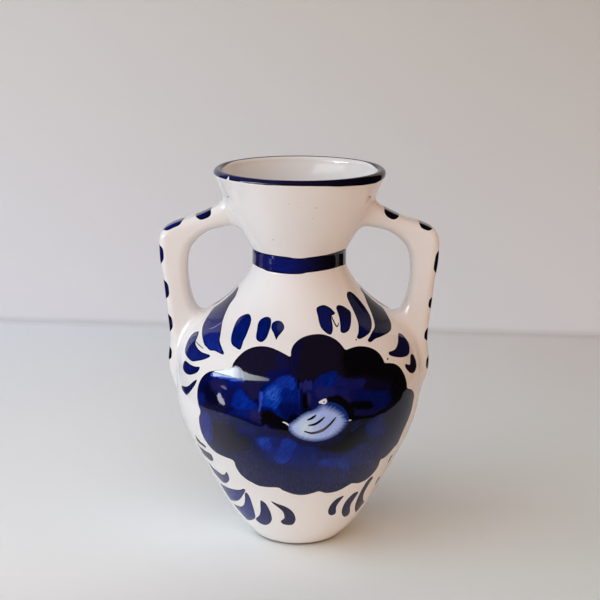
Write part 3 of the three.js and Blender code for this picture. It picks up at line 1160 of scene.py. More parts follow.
handleDashes = {
    # blue across the outer edge: where each starts and ends in the photograph, mm round the edge, tone
    # the tones are painted light: paler on the lit left handle, near black on the shaded right
    "right": [
        ((385, 207), (399, 218), 7.2, 0.04), ((420, 221), (432, 230), 6.8, 0.04),
        ((439, 250), (436, 273), 6.4, 0.04), ((431.5, 295), (429, 307), 6.5, 0.04),
        ((428, 327), (426, 341), 6.4, 0.05), ((428.8, 355), (427.5, 368), 6.1, 0.05)],
    "left": [
        ((210.5, 208.5), (196, 214.5), 7.0, 0.26), ((183, 216.5), (163, 230), 6.2, 0.44),
        ((161, 243), (162.5, 264), 6.8, 0.34), ((165, 278.5), (168, 297.5), 7.0, 0.3),
        ((169, 312.5), (170.5, 331.5), 6.6, 0.2), ((169.8, 345), (170.6, 360), 6.0, 0.12)],
    "seenDepth": -3.0,       # y in mm of the edge that those pixels lie on
    "shortest": 2.0,         # half a dash at least, and what is added to it
    "spread": 0.2,
    "rise": 0.07,
    "edgeSlope": 0.4,
    "corners": 60,
    "endPower": (0.5, 0.68),     # how square the ends are, from dash to dash
    "sidePower": 0.85,
    "wobble": 0.05,
    "drift": 0.2,
    "spacing": 0.7,
    "paintedSheen": 0.15,
}


def roundTheEdge(run, around):
    # a point on the strap: run along its outer edge, around from the middle of its outer face
    lengths = lengthAlong(outerEdge)
    behind, spot, ahead = (np.stack([np.interp(run + step, lengths, outerEdge[:, k]) for k in (0, 1)], 1)
                           for step in (-0.5, 0, 0.5))
    along = (ahead - behind) / np.maximum(np.linalg.norm(ahead - behind, axis=1), 1e-9)[:, None]
    outward = np.stack([-along[:, 1], along[:, 0]], 1)
    corner = handleStrap["outerRound"]
    flat = handleStrap["halfDepth"] - corner
    turn = np.clip((np.abs(around) - flat) / corner, 0, math.pi / 2)
    beyond = np.maximum(np.abs(around) - flat - corner * math.pi / 2, 0)
    inward = corner * (1 - np.cos(turn)) + beyond
    depth = np.sign(around) * (np.minimum(np.abs(around), flat) + corner * np.sin(turn))
    return np.stack([spot[:, 0] - outward[:, 0] * inward, depth, spot[:, 1] - outward[:, 1] * inward], 1)


def buildDashes(side):
    mirror = 1 if side == "right" else -1
    depths = np.full(len(outerEdge), handleDashes["seenDepth"])
    seen = toPixels(np.stack([outerEdge[:, 0] * mirror, depths, outerEdge[:, 1]], 1))
    lengths = lengthAlong(outerEdge)
    patches = []
    rng = np.random.default_rng(21 if side == "right" else 22)
    for number, (first, last, around, tone) in enumerate(handleDashes[side]):
        ends = [lengths[np.argmin(np.linalg.norm(seen - np.array(p), axis=1))] for p in (first, last)]
        middle = sum(ends) / 2
        half = max(abs(ends[1] - ends[0]) / 2, handleDashes["shortest"]) + handleDashes["spread"]
        turn = np.linspace(0, 2 * math.pi, handleDashes["corners"], endpoint=False)
        power, sidePower = rng.uniform(*handleDashes["endPower"]), handleDashes["sidePower"]
        wobble = 1 + handleDashes["wobble"] * ringNoise(turn, int(middle * 10), (2, 3, 5, 7))
        along = half * np.sign(np.cos(turn)) * np.abs(np.cos(turn)) ** power * wobble
        across = around * np.sign(np.sin(turn)) * np.abs(np.sin(turn)) ** sidePower * wobble
        drift = rng.uniform(-handleDashes["drift"], handleDashes["drift"])
        loop = np.stack([middle + along, across + drift], 1)
        flat, triangles = fillLoop(loop, handleDashes["spacing"])
        depth = np.maximum(depthInLoop(flat, loop), 0)
        spots = ontoField(handleField, roundTheEdge(flat[:, 0], -flat[:, 1]), 3)
        normal = fieldSlope(handleField, spots)[1]
        normal /= np.linalg.norm(normal, axis=1)[:, None]
        edgeShare = np.clip(depth / handleDashes["edgeSlope"], paintLayer["edgeThickness"], 1)
        rise = edgeShare * handleDashes["rise"]
        points, faces = thickSheet(triangles, spots + normal * rise[:, None],
                                   spots - normal * paintLayer["sink"], normal)
        normals = np.vstack([normal, normal])
        if side == "left":
            points, normals = otherSide(points), otherSide(normals)
        values = washValues(np.full(len(flat), tone), handleDashes["paintedSheen"], brushWay(flat, 90, number),
                            np.concatenate([depth, depth]))
        patches.append({"points": points, "faces": faces, "normals": normals, "values": values})
    paint("dashes" + side.capitalize(), patches, washMaterial)


for side in ("right", "left"):
    buildDashes(side)
print("handles and their dashes done")


# the flower

flowerPetals = {
    "outline": [
        (232, 368), (233.5, 363), (238, 357), (244, 351.5), (250, 348.3), (256, 346.6), (263, 346.2),
        (270, 347.3), (277, 350), (284, 353.5), (290.3, 356.5), (291, 351), (293.5, 345), (299, 339.5),
        (306, 336), (314, 334.3), (322, 334.2), (330, 336.5), (337, 340.5), (342, 345.5), (345.6, 349.6),
        (351, 348), (358, 346.3), (366, 346.6), (373, 348.8), (379, 353), (383, 359), (384.9, 362.7),
        (390, 363), (395, 364), (400, 367.5), (404.5, 375), (406.8, 383), (407.5, 388.2), (412, 389.8),
        (414, 394), (413.5, 400), (411.5, 410), (408, 420), (404, 429), (401, 436), (397.5, 443.6),
        (394, 447.5), (389, 453.5), (384, 458), (380.7, 459.7), (378, 466.5), (374, 472.5), (369, 477.5),
        (364, 481), (358, 483.2), (352, 483.4), (348, 485.5), (342, 489), (336, 491.5), (330, 492.8),
        (325, 492.8), (319, 491.4), (313, 493), (307, 494.5), (300, 495), (293, 494), (287, 492),
        (282, 490), (278.3, 487.7), (266, 487), (258, 485.5), (252, 482.5), (246, 479), (240, 473.5),
        (236, 467), (233.3, 460.6), (225, 457), (216, 452.5), (208.5, 445), (203, 436), (200, 427),
        (199, 418), (200.4, 411.6), (198.5, 405), (197.2, 396), (198, 387), (201, 379), (206, 373.5),
        (212, 371), (217, 371.9), (222, 373.6), (228, 375.3), (236, 376.9), (240, 378), (243.8, 379.6),
        (243.4, 376), (241.8, 372.5), (240, 369.3), (237, 367.2), (234.6, 367.2), (232.7, 368.2)],
    "spacing": 0.5,
    "base": (0.10, 0.2, 90.0),       # tone, painted sheen and direction of the brush under the dabs
    # the white gap between the two left petals, drawn grey-blue so the window mirrored on it stays below
    # white: painted shade
    "gap": [
        (214, 369.8), (220, 369.4), (227, 368.9), (232.3, 366.5), (236, 365.6), (240.5, 368), (243.5, 372),
        (245.4, 380.6), (240, 379.6), (232, 377.6), (224, 375.6), (217, 373.4), (213, 372.4)],
    "gapSpacing": 0.6,
    "gapLift": -0.03,
    "gapPaintedShade": (0.40, 0.46, 0.50),
    "gapPaintedShadeTwo": (0.52, 0.56, 0.60),
    "darkWash": (0.03, 0.06, 0.16),
    "shadeToPaint": (-0.0300, -0.0262),      # metres from the middle, where the painted shade gives way to the petal's dark blue
}

# marks of the brush inside the flower, a few of them painted reflection, from the first to the last: outline
# in pixels, tone from 0 near black to 1 palest, width of its soft edge, direction of the brush in degrees,
# and painted sheen
flowerDabs = [
    # the upper petals
    ([(200, 340), (292, 340), (300, 380), (250, 384), (196, 378)], 0.10, 6, 30, 0.50),
    ([(279, 350), (292, 358), (293, 372), (287, 378), (278, 372), (276, 360)], 0.22, 7, 60, 0.35),
    ([(268, 372), (292, 370), (294, 379), (268, 380)], 0.30, 4, 20, 0.1),
    ([(291, 334), (346, 334), (346, 376), (300, 378), (291, 370)], 0.05, 7, 80, 0.35),
    ([(290, 356), (292, 346), (299, 337), (303, 345), (300, 358), (298, 372), (295, 382), (290, 374)],
     0.19, 4, 80, 0.2),
    ([(345, 346), (386, 346), (410, 380), (406, 392), (392, 384), (368, 376), (346, 376)],
     0.0, 6, 60, 0.05),
    # the left lobe
    ([(197, 372), (262, 380), (262, 420), (200, 412)], 0.16, 5, 60, 0.1),
    ([(200, 378), (218, 377), (216, 389), (200, 390)], 0.30, 5, 70, 0.0),
    ([(203, 384), (213, 383), (223, 393), (222, 404), (210, 404), (203, 396)], 0.15, 6, 80, 0.0),
    ([(212, 380), (226, 380), (228, 390), (218, 393), (212, 388)], 0.30, 5, 40, 0.6),
    ([(227, 379), (241, 381), (241, 390), (229, 390)], 0.48, 4, 60, 0.0),
    ([(222, 388), (237, 388), (238, 403), (226, 406), (221, 398)], 0.30, 4, 75, 0.15),
    ([(234, 396), (238, 390), (243, 389), (248, 396), (258, 406), (256, 411), (240, 411), (232, 406)],
     0.60, 3, 50, 0.0),
    ([(243, 397), (250, 401), (253, 408), (243, 408)], 0.70, 3, 50, 0.0),
    ([(240, 382), (252, 381), (268, 381), (264, 390), (258, 398), (252, 399), (246, 392), (241, 387)],
     0.22, 2.5, 50, 0.55),
    # paler at the lobe's left edge, where the glaze mirrors the edge of the table: painted reflection
    ([(197, 394), (204, 394), (206, 408), (200, 412), (197, 404)], 0.42, 4, 85, 0.2),
    ([(206, 403), (216, 406), (224, 410), (223, 414), (212, 411), (205, 406)], 0.12, 2.5, 20, 0.6),
    ([(227, 411), (240, 411), (252, 411), (256, 419), (246, 420), (234, 416)], 0.44, 3, 20, 0.1),
    ([(252, 410), (260, 412), (264, 422), (256, 424), (250, 418)], 0.30, 3, 20, 0.9),
    # a pale strip just under the gap, where the window is mirrored on the lobe: painted reflection
    ([(212, 373.4), (220, 373.8), (229, 376.4), (237, 378.4), (244, 379.4), (244, 382), (236, 381.4),
      (228, 379.8), (219, 377.6), (211, 376.4)], 0.98, 1.2, 15, 0.5),
    # the large bright dab
    ([(259, 395), (264, 389), (270, 384), (276, 379), (284, 376), (291, 376), (295, 379), (298, 386),
      (300, 394), (301, 402), (300, 412), (297, 416), (290, 419), (284, 420), (278, 417), (272, 412),
      (266, 411), (262, 406), (259, 400)], 0.52, 1.6, 58, 0.0),
    ([(263, 384), (271, 381), (270, 388), (262, 396), (259, 391)], 0.36, 3, 50, 0.0),
    ([(262, 394), (268, 387), (275, 383), (281, 381), (282, 391), (280, 402), (276, 408), (270, 410),
      (264, 404)], 0.80, 3, 56, 0.0),
    ([(268, 389), (276, 386), (278, 392), (274, 399), (268, 397)], 0.90, 4, 56, 0.0),
    ([(277, 378), (290, 376), (295, 382), (294, 389), (284, 388), (277, 386)], 0.68, 3, 30, 0.2),
    ([(289, 382), (293, 381), (296, 387), (291, 390)], 0.74, 2, 70, 0.0),
    ([(280, 404), (299, 404), (300, 413), (290, 419), (282, 418)], 0.32, 5, 70, 0.0),
    ([(266, 407), (272, 409), (278, 417), (272, 417), (264, 411)], 0.33, 2.5, 60, 0.0),
    ([(259.6, 391.5), (262.2, 392), (262.6, 398), (261.8, 405), (259.8, 412), (258, 413), (259, 405),
      (259.2, 398)], 0.84, 0.8, 85, 1.6),
    ([(297.4, 380), (299.4, 388), (300.6, 398), (300.8, 408), (299.3, 408), (299, 398), (298, 388),
      (296.4, 381)], 0.52, 0.8, 85, 0.4),
    # between the bright dab and the next
    ([(297, 379), (303, 382), (304, 388), (300, 390), (297, 386)], 0.12, 2, 80, 0.0),
    ([(301, 383), (311, 381), (312, 392), (302, 392)], 0.44, 2, 88, 0.8),
    ([(305, 391), (318, 391), (319, 402), (313, 408), (306, 404)], 0.32, 2.5, 80, 0.2),
    ([(308, 394), (311, 394), (311, 404), (308, 403)], 0.34, 1.5, 88, 0.9),
    ([(300, 390), (304, 392), (303, 408), (300, 410)], 0.24, 2, 88, 0.0),
    ([(303, 396), (307, 395), (308, 408), (304, 409)], 0.0, 1.6, 88, 0.0),
    ([(312, 398), (319, 398), (318, 410), (312, 410)], 0.30, 2, 88, 0.2),
    # dabs to the right of it
    ([(313, 384), (317, 378), (325, 373.5), (335, 370.5), (338, 376), (338, 389), (330, 393), (320, 392),
      (314, 391)], 0.46, 1.8, 62, 0.15),
    ([(322, 376), (334, 373), (335, 384), (326, 387), (321, 384)], 0.50, 3, 62, 0.0),
    ([(328, 377), (331, 377), (332, 385), (329, 386)], 0.62, 2, 80, 0.0),
    ([(317, 388), (334, 388), (335, 397), (319, 399)], 0.38, 2.5, 75, 0.6),
    ([(336, 376), (346, 378.5), (357, 380), (366, 379), (362, 388), (354, 396), (346, 401), (336, 394)],
     0.36, 1.4, 30, 0.3),
    ([(348, 379), (364, 379.5), (360, 386), (350, 388)], 0.33, 3, 20, 0.35),
    ([(343, 396), (352, 395), (350, 402), (345, 405)], 0.26, 2, 60, 0.6),
    ([(350, 390), (362, 388), (360, 400), (350, 400)], 0.30, 3, 60, 0.2),
    ([(356, 393), (364, 389.5), (378, 388.5), (388, 389), (392.5, 394), (391, 402), (384, 409), (375, 412),
      (366, 408), (358, 402)], 0.30, 3.5, 15, 0.05),
    ([(360, 392), (376, 391), (386, 394), (386, 402), (376, 406), (364, 399)], 0.33, 4, 15, 0.05),
    ([(370, 384), (386, 384), (386, 390), (370, 390)], 0.14, 3, 10, 0.1),
    ([(352, 409.5), (364, 409), (376, 409), (386, 406), (380, 412), (368, 416), (356, 416.5)],
     0.22, 2, 8, 0.3),
    ([(329, 397), (336, 395.5), (342, 397), (350, 404), (354, 410), (354, 420), (350, 425), (347, 417),
      (342, 409), (334, 405), (328, 401)], 0.0, 2, 140, 0.1),
    ([(352, 402), (366, 401), (373, 404), (370, 408.5), (356, 408.5)], 0.02, 2.2, 10, 0.0),
    ([(351, 416.5), (366, 416), (380, 411.5), (391, 404), (399, 393), (402, 384), (406, 390), (402, 401),
      (392, 410), (378, 417), (362, 421), (352, 422)], 0.0, 2, 30, 0.0),
    ([(392, 378), (404, 378), (403, 396), (393, 404)], 0.02, 4, 60, 0.0),
    # the dark blot left of the white centre
    ([(261, 414), (270, 411), (278, 417), (287, 420), (291, 425), (289, 432), (284, 434), (276, 435),
      (268, 431), (263, 427)], 0.0, 2, 150, 0.08),
    ([(289, 416), (297, 415), (297, 422), (290, 423)], 0.06, 2, 150, 0.0),
    ([(264.5, 425), (267.5, 425), (268, 429), (265, 429)], 0.5, 1.2, 90, 1.6),
    # the lower petals
    ([(196, 412), (262, 424), (300, 438), (350, 436), (410, 400), (414, 440), (380, 500), (230, 500)],
     0.27, 6, 90, 0.0),
    # paler at the left edge of the lower petals: painted highlight
    ([(198, 412), (207, 413), (211, 421), (213, 432), (211, 442), (204, 442), (199, 430)],
     0.52, 3, 85, 0.27),
    ([(213, 424), (232, 426), (250, 440), (240, 452), (218, 446)], 0.13, 7, 60, 0.21),
    ([(239, 426), (255, 426), (256, 434), (240, 435)], 0.34, 4, 15, 0.04),
    ([(254, 438), (266, 436), (283, 440), (300, 443), (300, 456), (294, 466), (276, 463), (262, 453)],
     0.38, 3, 60, 0.0),
    ([(256, 439), (265, 437), (272, 439), (275, 446), (272, 451), (265, 450), (260, 446)],
     0.72, 2, 60, 0.06),
    ([(270, 438), (283, 439), (281, 448), (274, 449)], 0.42, 2, 60, 0.0),
    ([(267, 449), (278, 448), (280, 458), (274, 459)], 0.50, 3, 50, 0.06),
    ([(284, 438.5), (292, 440), (297.5, 446), (293, 455), (287, 462), (279, 463.5), (274, 457), (279, 448)],
     0.70, 1.4, 58, 0.03),
    ([(282, 448), (290, 446), (290, 456), (283, 460), (279, 456)], 0.63, 3, 58, 0.0),
    ([(293, 449), (300, 447), (302, 462), (296, 466), (290, 460)], 0.46, 2.5, 70, 0.03),
    ([(300, 447), (318, 446), (320, 470), (308, 474), (300, 466)], 0.42, 3, 88, 0.06),
    ([(311, 454), (318, 454), (319, 468), (312, 470)], 0.48, 2.5, 88, 0.06),
    ([(318, 449), (346, 448), (348, 474), (330, 478), (318, 474)], 0.34, 3, 88, 0.12),
    ([(320, 460), (346, 459), (347, 471), (332, 474), (320, 471)], 0.58, 2.5, 88, 0.15),
    ([(304, 466), (346, 470), (344, 482), (310, 480)], 0.32, 5, 88, 0.12),
    ([(348, 451), (358, 450), (361, 463), (350, 466)], 0.40, 3, 95, 0.12),
    ([(358, 446), (370, 444), (372, 462), (360, 466)], 0.36, 4, 100, 0.12),
    ([(318, 448), (330, 442), (341, 437), (350, 429), (357, 434), (355, 446), (344, 452), (330, 451)],
     0.02, 4, 115, 0.0),
    ([(352, 420), (366, 422), (366, 440), (354, 440)], 0.08, 4, 120, 0.0),
    ([(350.5, 430.5), (356, 426.5), (362, 421.8), (362.6, 422.8), (357, 427.8), (351.2, 431.8)],
     0.42, 0.9, 40, 0.18),
    ([(353, 424.5), (359, 420.8), (359.6, 421.8), (353.8, 425.7)], 0.36, 0.9, 40, 0.09),
    ([(328, 444.5), (337, 441), (345, 434.5), (345.8, 435.6), (337.6, 442.2), (328.4, 445.7)],
     0.30, 0.9, 150, 0.24),
    ([(366, 424), (373, 418), (386, 415), (391, 421), (386, 431), (374, 437), (367, 434)],
     0.38, 3, 120, 0.03),
    ([(384, 412), (404, 402), (404, 424), (390, 436)], 0.18, 5, 110, 0.21),
    ([(300, 439), (318, 442.5), (334, 440), (343, 434), (346, 437), (334, 444), (316, 446), (300, 444)],
     0.22, 2, 175, 0.0),
]


def washTones(pixels, depth):
    # each dab lifts or darkens the flower's base and sets its painted sheen
    tone, paintedSheen, way = (np.full(len(pixels), value) for value in flowerPetals["base"])
    number = np.zeros(len(pixels))
    for n, (outline, value, soft, angle, dabSheen) in enumerate(flowerDabs):
        loop = smoothLine(outline, True, 1.5)
        near = ((pixels > loop.min(0) - soft) & (pixels < loop.max(0) + soft)).all(1)
        turn = math.radians(angle)
        across = pixels[near, 0] * math.sin(turn) + pixels[near, 1] * math.cos(turn)
        inside = depthInLoop(pixels[near], loop) + min(soft, 3) * 0.5 * hairs(across, 100 + n)
        cover = eased(np.clip(inside / (1.3 * soft) + 0.5, 0, 1))
        tone[near] += (value - tone[near]) * cover
        paintedSheen[near] += (dabSheen - paintedSheen[near]) * cover
        way[near] = np.where(cover > 0.5, angle, way[near])
        number[near] = np.where(cover > 0.5, n, number[near])
    turn = np.radians(way)
    along = pixels[:, 0] * np.cos(turn) - pixels[:, 1] * np.sin(turn)
    across = pixels[:, 0] * np.sin(turn) + pixels[:, 1] * np.cos(turn)
    return washValues(tone, paintedSheen, np.stack([along, across, number * paintLayer["strokeShift"]], 1), depth)


def gapPaintedShadeColour(tree, skin):
    pale = mixColours(tree, skin.outputs["Cloud"], flowerPetals["gapPaintedShade"], flowerPetals["gapPaintedShadeTwo"])
    return mixColours(tree, alongAxis(tree, "X", *flowerPetals["shadeToPaint"]),
                      pale, flowerPetals["darkWash"])


def buildFlower():
    # painted shade over the white gap, then the petals
    gapShade = paintedPatch(flowerPetals["gap"], flowerPetals["gapSpacing"], lift=flowerPetals["gapLift"])
    paint("gapPaintedShade", [gapShade], glazed(newMaterial("gapPaintedShade"), gapPaintedShadeColour, pinholes=0.0))
    petals = paintedPatch(flowerPetals["outline"], flowerPetals["spacing"])
    petals["values"] = washTones(petals["pixels"], petals["depth"])
    paint("flowerPetals", [petals], washMaterial)


buildFlower()
print("petals painted")


# the flower's pale centre and the marks on it

flowerCentre = {
    "outline": [
        (287.6, 426.5), (288.8, 430.8), (293, 435.5), (299, 438.8), (306, 441), (314, 442), (322, 441.2),
        (330, 438.8), (338, 434.5), (344.5, 429), (348.8, 423), (349, 418), (347, 412), (343, 407),
        (337, 403.3), (329, 401.5), (321.5, 402), (317.5, 405.5), (313.5, 409), (306.5, 411.4),
        (300.5, 414.6), (296, 418.2), (291.5, 421.4), (288.4, 424)],
    # brush lines: points and width in pixels
    "strokes": [
        ([(306.8, 420.2), (311.5, 418.3), (316.4, 414.7)], 3.0),
        ([(307.8, 425.3), (314.0, 424.4), (320.0, 421.0), (325, 416.5)], 3.1),
        ([(303.6, 431), (311.5, 433.0), (321, 430.8), (328.7, 425.4), (336.3, 416.8)], 3.3)],
    "paintedSheenShare": (0, 0.1, 1),         # painted sheen: how far each line is paled at its middle, where the glaze mirrors light on it
    "paintedSheenMiddle": (321, 11),         # across and reach in pixels
    "ticks": [([(281.8, 421.6), (286, 423.2), (291, 427)], 1.7), ([(344, 421.6), (351.5, 419.8)], 1.5)],
    # a pale mark at the top of the centre, where the glaze mirrors a small bright thing: painted highlight
    "highlightMark": [(318.4, 402.4), (322.5, 399.3), (326.3, 398.8), (326.8, 403.6), (322.5, 404.6)],
    "markMiddle": [(321.4, 402.3), (324.7, 400.9), (325, 402.9)],
    "spacing": 0.42,
    "fineSpacing": 0.35,
    "markSpacing": 0.4,
    "edgeStep": 0.3,
    "lifts": {"centre": 0.04, "ticks": 0.06, "strokes": 0.08, "markMiddle": 0.1},
    "middle": (318.0, 422.0),
    "thinSide": (0.6, 0.75),         # the way in radians to where the rim is thinnest, and how wide that is
    # the feathered rim in pixels: on every side, and what the thinnest side adds
    "featherStart": (0.0, 1.9),
    "featherReach": (2.3, 0.7),
    "featherHairs": (0.3, 0.35),
    "featherPower": 1.25,
    "hairCount": 24,                 # hairs to a radian
    # share of lilac: at most, less where it is whitest, change by hairs and by blots
    "lilacShare": (0.9, 0.75, 0.16, 0.2),
    "whitest": (306.0, 427.0, 10.0),       # middle and reach in pixels
    "lilac": (0.33, 0.465, 0.93),
    "white": (0.64, 0.78, 0.86),
    "feather": (0.004, 0.026, 0.19),
    "ink": (0.004, 0.004, 0.008),
    # painted sheen: the ink where the glaze's reflection pales it
    "inkWithSheen": (0.10, 0.085, 0.11),
    # white of the ticks and of the painted highlight
    "tickAndHighlightWhite": (0.66, 0.69, 0.80),
    "paleTickAndHighlightWhite": (0.78, 0.80, 0.86),
}


def centreColour(tree, skin):
    cover = attributeNode(tree, "cover").outputs["Fac"]
    body = mixColours(tree, attributeNode(tree, "dabs").outputs["Fac"], flowerCentre["white"],
                      flowerCentre["lilac"])
    return mixColours(tree, cover, flowerCentre["feather"], body)


def inkColour(tree, skin):
    pale = attributeNode(tree, "cover").outputs["Fac"]
    return mixColours(tree, pale, flowerCentre["ink"], flowerCentre["inkWithSheen"])


def tickAndHighlightColour(tree, skin):
    return mixColours(tree, skin.outputs["Cloud"], flowerCentre["tickAndHighlightWhite"], flowerCentre["paleTickAndHighlightWhite"])


def strokeLoop(points, width):
    # outline of a brush line that is thinner at both ends
    tip, power = 0.35, 0.6
    line = smoothLine(points, False, 0.7)
    along = np.gradient(line, axis=0)
    along /= np.linalg.norm(along, axis=1)[:, None]
    side = np.stack([-along[:, 1], along[:, 0]], 1)
    share = np.linspace(0, 1, len(line))
    half = width / 2 * (tip + (1 - tip) * np.sin(math.pi * np.clip(share, 0.04, 0.96)) ** power)
    return np.vstack([line + side * half[:, None], (line - side * half[:, None])[::-1]])


def centreCover(patch):
    # the white was dabbed outwards: its rim is feathered, most of all at the upper right
    pixels = patch["pixels"]
    away = pixels - np.array(flowerCentre["middle"])
    turn = np.arctan2(-away[:, 1], away[:, 0])
    way, width = flowerCentre["thinSide"]
    thin = np.exp(-((turn - way) / width) ** 2)
    around = turn * flowerCentre["hairCount"]
    streak = hairs(around, 61, 1.3, 5.0) + 0.6 * hairs(around, 62, 0.7, 2.0)
    start, soft, live = (least + more * thin for least, more in (
        flowerCentre["featherStart"], flowerCentre["featherReach"], flowerCentre["featherHairs"]))
    depth = patch["depth"][:len(pixels)]
    cover = np.clip((depth - start + live * streak) / soft, 0, 1) ** flowerCentre["featherPower"]
    x, y, reach = flowerCentre["whitest"]
    whitest = np.exp(-((pixels - (x, y)) ** 2).sum(1) / reach ** 2)
    blots = hairs(away[:, 0] + 0.6 * away[:, 1], 63, 4.0, 13.0)
    most, less, byHairs, byBlots = flowerCentre["lilacShare"]
    dabs = np.clip(most - less * whitest + byHairs * streak + byBlots * blots, 0, 1)
    return {"cover": np.concatenate([cover, cover]), "dabs": np.concatenate([dabs, dabs])}


def buildCentre():
    lifts, fine, step = flowerCentre["lifts"], flowerCentre["fineSpacing"], flowerCentre["edgeStep"]
    centre = paintedPatch(flowerCentre["outline"], flowerCentre["spacing"], lift=lifts["centre"])
    centre["values"] = centreCover(centre)
    paint("flowerCentre", [centre], glazed(newMaterial("lilacWhite"), centreColour, pinholes=0.0))
    ink = glazed(newMaterial("blackInk"), inkColour, pinholes=0.0)
    tickAndHighlightWhite = glazed(newMaterial("whiteTicksAndHighlight"), tickAndHighlightColour, pinholes=0.0)
    strokes = []
    across, reach = flowerCentre["paintedSheenMiddle"]
    for (points, width), sheenShare in zip(flowerCentre["strokes"], flowerCentre["paintedSheenShare"]):
        patch = paintedPatch(strokeLoop(points, width), fine, lift=lifts["strokes"], edgeStep=step)
        # paler at the middle of a line: painted sheen
        middle = sheenShare * np.clip(1 - np.abs(patch["pixels"][:, 0] - across) / reach, 0, 1) ** 0.5
        patch["values"] = {"cover": np.concatenate([middle, middle])}
        strokes.append(patch)
    dark = paintedPatch(flowerCentre["markMiddle"], fine, lift=lifts["markMiddle"], edgeStep=step)
    dark["values"] = {"cover": np.full(len(dark["points"]), 0.1)}
    paint("centreStrokes", strokes + [dark], ink)
    # white ticks, and the painted highlight at the top of the centre
    ticks = [paintedPatch(strokeLoop(points, width), fine, lift=lifts["ticks"], edgeStep=step)
             for points, width in flowerCentre["ticks"]]
    ticks.append(paintedPatch(flowerCentre["highlightMark"], flowerCentre["markSpacing"],
                              lift=lifts["ticks"], edgeStep=step))
    paint("centreTicksAndHighlight", ticks, tickAndHighlightWhite)


buildCentre()
print("flower painted")


# leaves and commas round the flower

shoulderStrokes = {
    "leafLeft": [
        (237.6, 286), (238.4, 288.3), (235, 297), (230, 304), (226, 312), (223, 320), (221.5, 328),
        (220.3, 336), (219.8, 341), (222, 348), (224, 353), (222.8, 354.6), (218, 352.5), (214.5, 350.8),
        (210, 350.3), (206, 346.5), (204.3, 344.5), (202.5, 338), (201.9, 332), (203, 325), (206.5, 318),
        (212, 310), (219, 302), (226, 294.5), (232, 289), (236, 286)],
    "barOne": [
        (247, 313.8), (250, 315), (251.3, 319), (250.5, 324), (248, 331), (246, 336), (243.5, 341),
        (242, 346), (240.5, 349.3), (238.5, 349.5), (235.5, 347.5), (232.3, 345), (231, 341), (231.5, 335),
        (233.5, 328), (236.5, 321), (240.5, 316.5)],
    "barTwo": [(266, 316.8), (269.5, 317.5), (271.2, 320), (270.8, 326), (269, 332), (266.5, 338),
               (263, 341.5), (260, 342), (257, 340), (256, 336.5), (257, 330), (258, 324), (260.5, 319.5)],
    "drop": [(278, 320.5), (282, 322), (284, 325.5), (284.2, 328.5), (282, 332), (279, 335.5), (277.3, 338),
             (276.3, 340), (275, 337), (273.5, 333), (271.5, 329), (271.5, 325), (273.5, 322)],
    "crescentLeft": [
        (197.5, 331.3), (198.8, 332), (197.8, 336), (196, 340.5), (195.4, 343.5), (197.5, 348),
        (201, 351.5), (205.5, 353.5), (209.7, 355), (209.5, 357), (204, 359.5), (197, 361), (192, 361.2),
        (188, 358), (185.5, 354), (185, 350), (186.5, 344), (189.5, 337.5), (193.5, 333)],
    "smallCrescentLeft": [
        (185, 360.7), (187, 361.7), (190.5, 364.5), (195, 366.5), (199.3, 366.8), (199.5, 369),
        (197.5, 372), (194, 374), (189.5, 374.8), (185.5, 373), (183.3, 369.5), (183, 366), (184, 362)],
    "tickLeft": [(196.8, 379.7), (195.5, 384), (192.5, 388.5), (189.5, 392.5), (186.5, 395), (184, 392.5),
                 (182, 389), (181.7, 385.5), (184.5, 386.5), (187.5, 386.3), (190.5, 384), (193.5, 381.3)],
    "barThree": [
        (323, 305), (327, 306), (330.5, 308), (333, 310.5), (335, 313), (333.5, 314.8), (331.5, 315.8),
        (331.8, 320), (332.8, 326), (332.6, 331), (331, 334.5), (328, 334), (324.5, 331.5), (321, 327.5),
        (319, 322), (317.8, 316), (316.4, 310), (317.5, 307)],
    "barFour": [
        (339, 305), (343, 306), (347, 308.5), (350.5, 311.5), (351.3, 317), (350.8, 324), (349, 330),
        (345.5, 332.7), (342.5, 333), (340.5, 331), (340.2, 325), (339.3, 318), (337.5, 312), (336.2, 308),
        (337, 305.8)],
    "longLeaf": [
        (349, 291.5), (352, 292.5), (357, 297), (362, 303), (367, 310), (370.5, 317), (371.8, 323),
        (371.3, 329), (369, 333.5), (365, 336.5), (361.5, 338.5), (359, 339), (356.8, 337.5), (358, 334),
        (358.5, 330), (358.3, 324), (356.5, 318), (353, 310), (349.5, 303), (347, 297), (347, 293)],
    "leafRight": [
        (360.3, 287), (363, 289.5), (368, 294), (374, 299), (380, 304.5), (385, 311), (389, 318),
        (391.2, 324), (390.8, 330), (387, 333.5), (380, 337), (375, 339), (371.5, 341.8), (369, 342),
        (367.7, 340), (369.5, 337), (372, 332), (374.5, 327), (374, 321), (371, 312), (367.5, 304),
        (364, 295), (361, 290)],
    "crescentRight": [
        (399.5, 333), (402.5, 334.5), (406, 338.5), (409, 344), (409.7, 350), (408.5, 354.5), (404, 357),
        (398, 357.3), (392.5, 356.3), (389.5, 355), (388.5, 352.5), (390, 351.5), (394, 350), (396.5, 347),
        (398, 341.5), (398, 336), (398.3, 334)],
    "smallCrescentRight": [
        (411.5, 354), (413.5, 355), (415.3, 359), (416.5, 364), (416, 369), (414, 372.5), (411, 373.3),
        (408.5, 371.5), (406, 368.5), (405, 365), (406.3, 363.8), (408.5, 364.8), (410, 364), (410.3, 360),
        (410.3, 356)],
    "dotOne": [(355.4, 339.8), (356.3, 338.8), (357.2, 339.6), (356.4, 340.6)],
    "dotTwo": [(386.8, 359), (387.8, 357.9), (388.6, 359), (387.8, 360.2)],
}

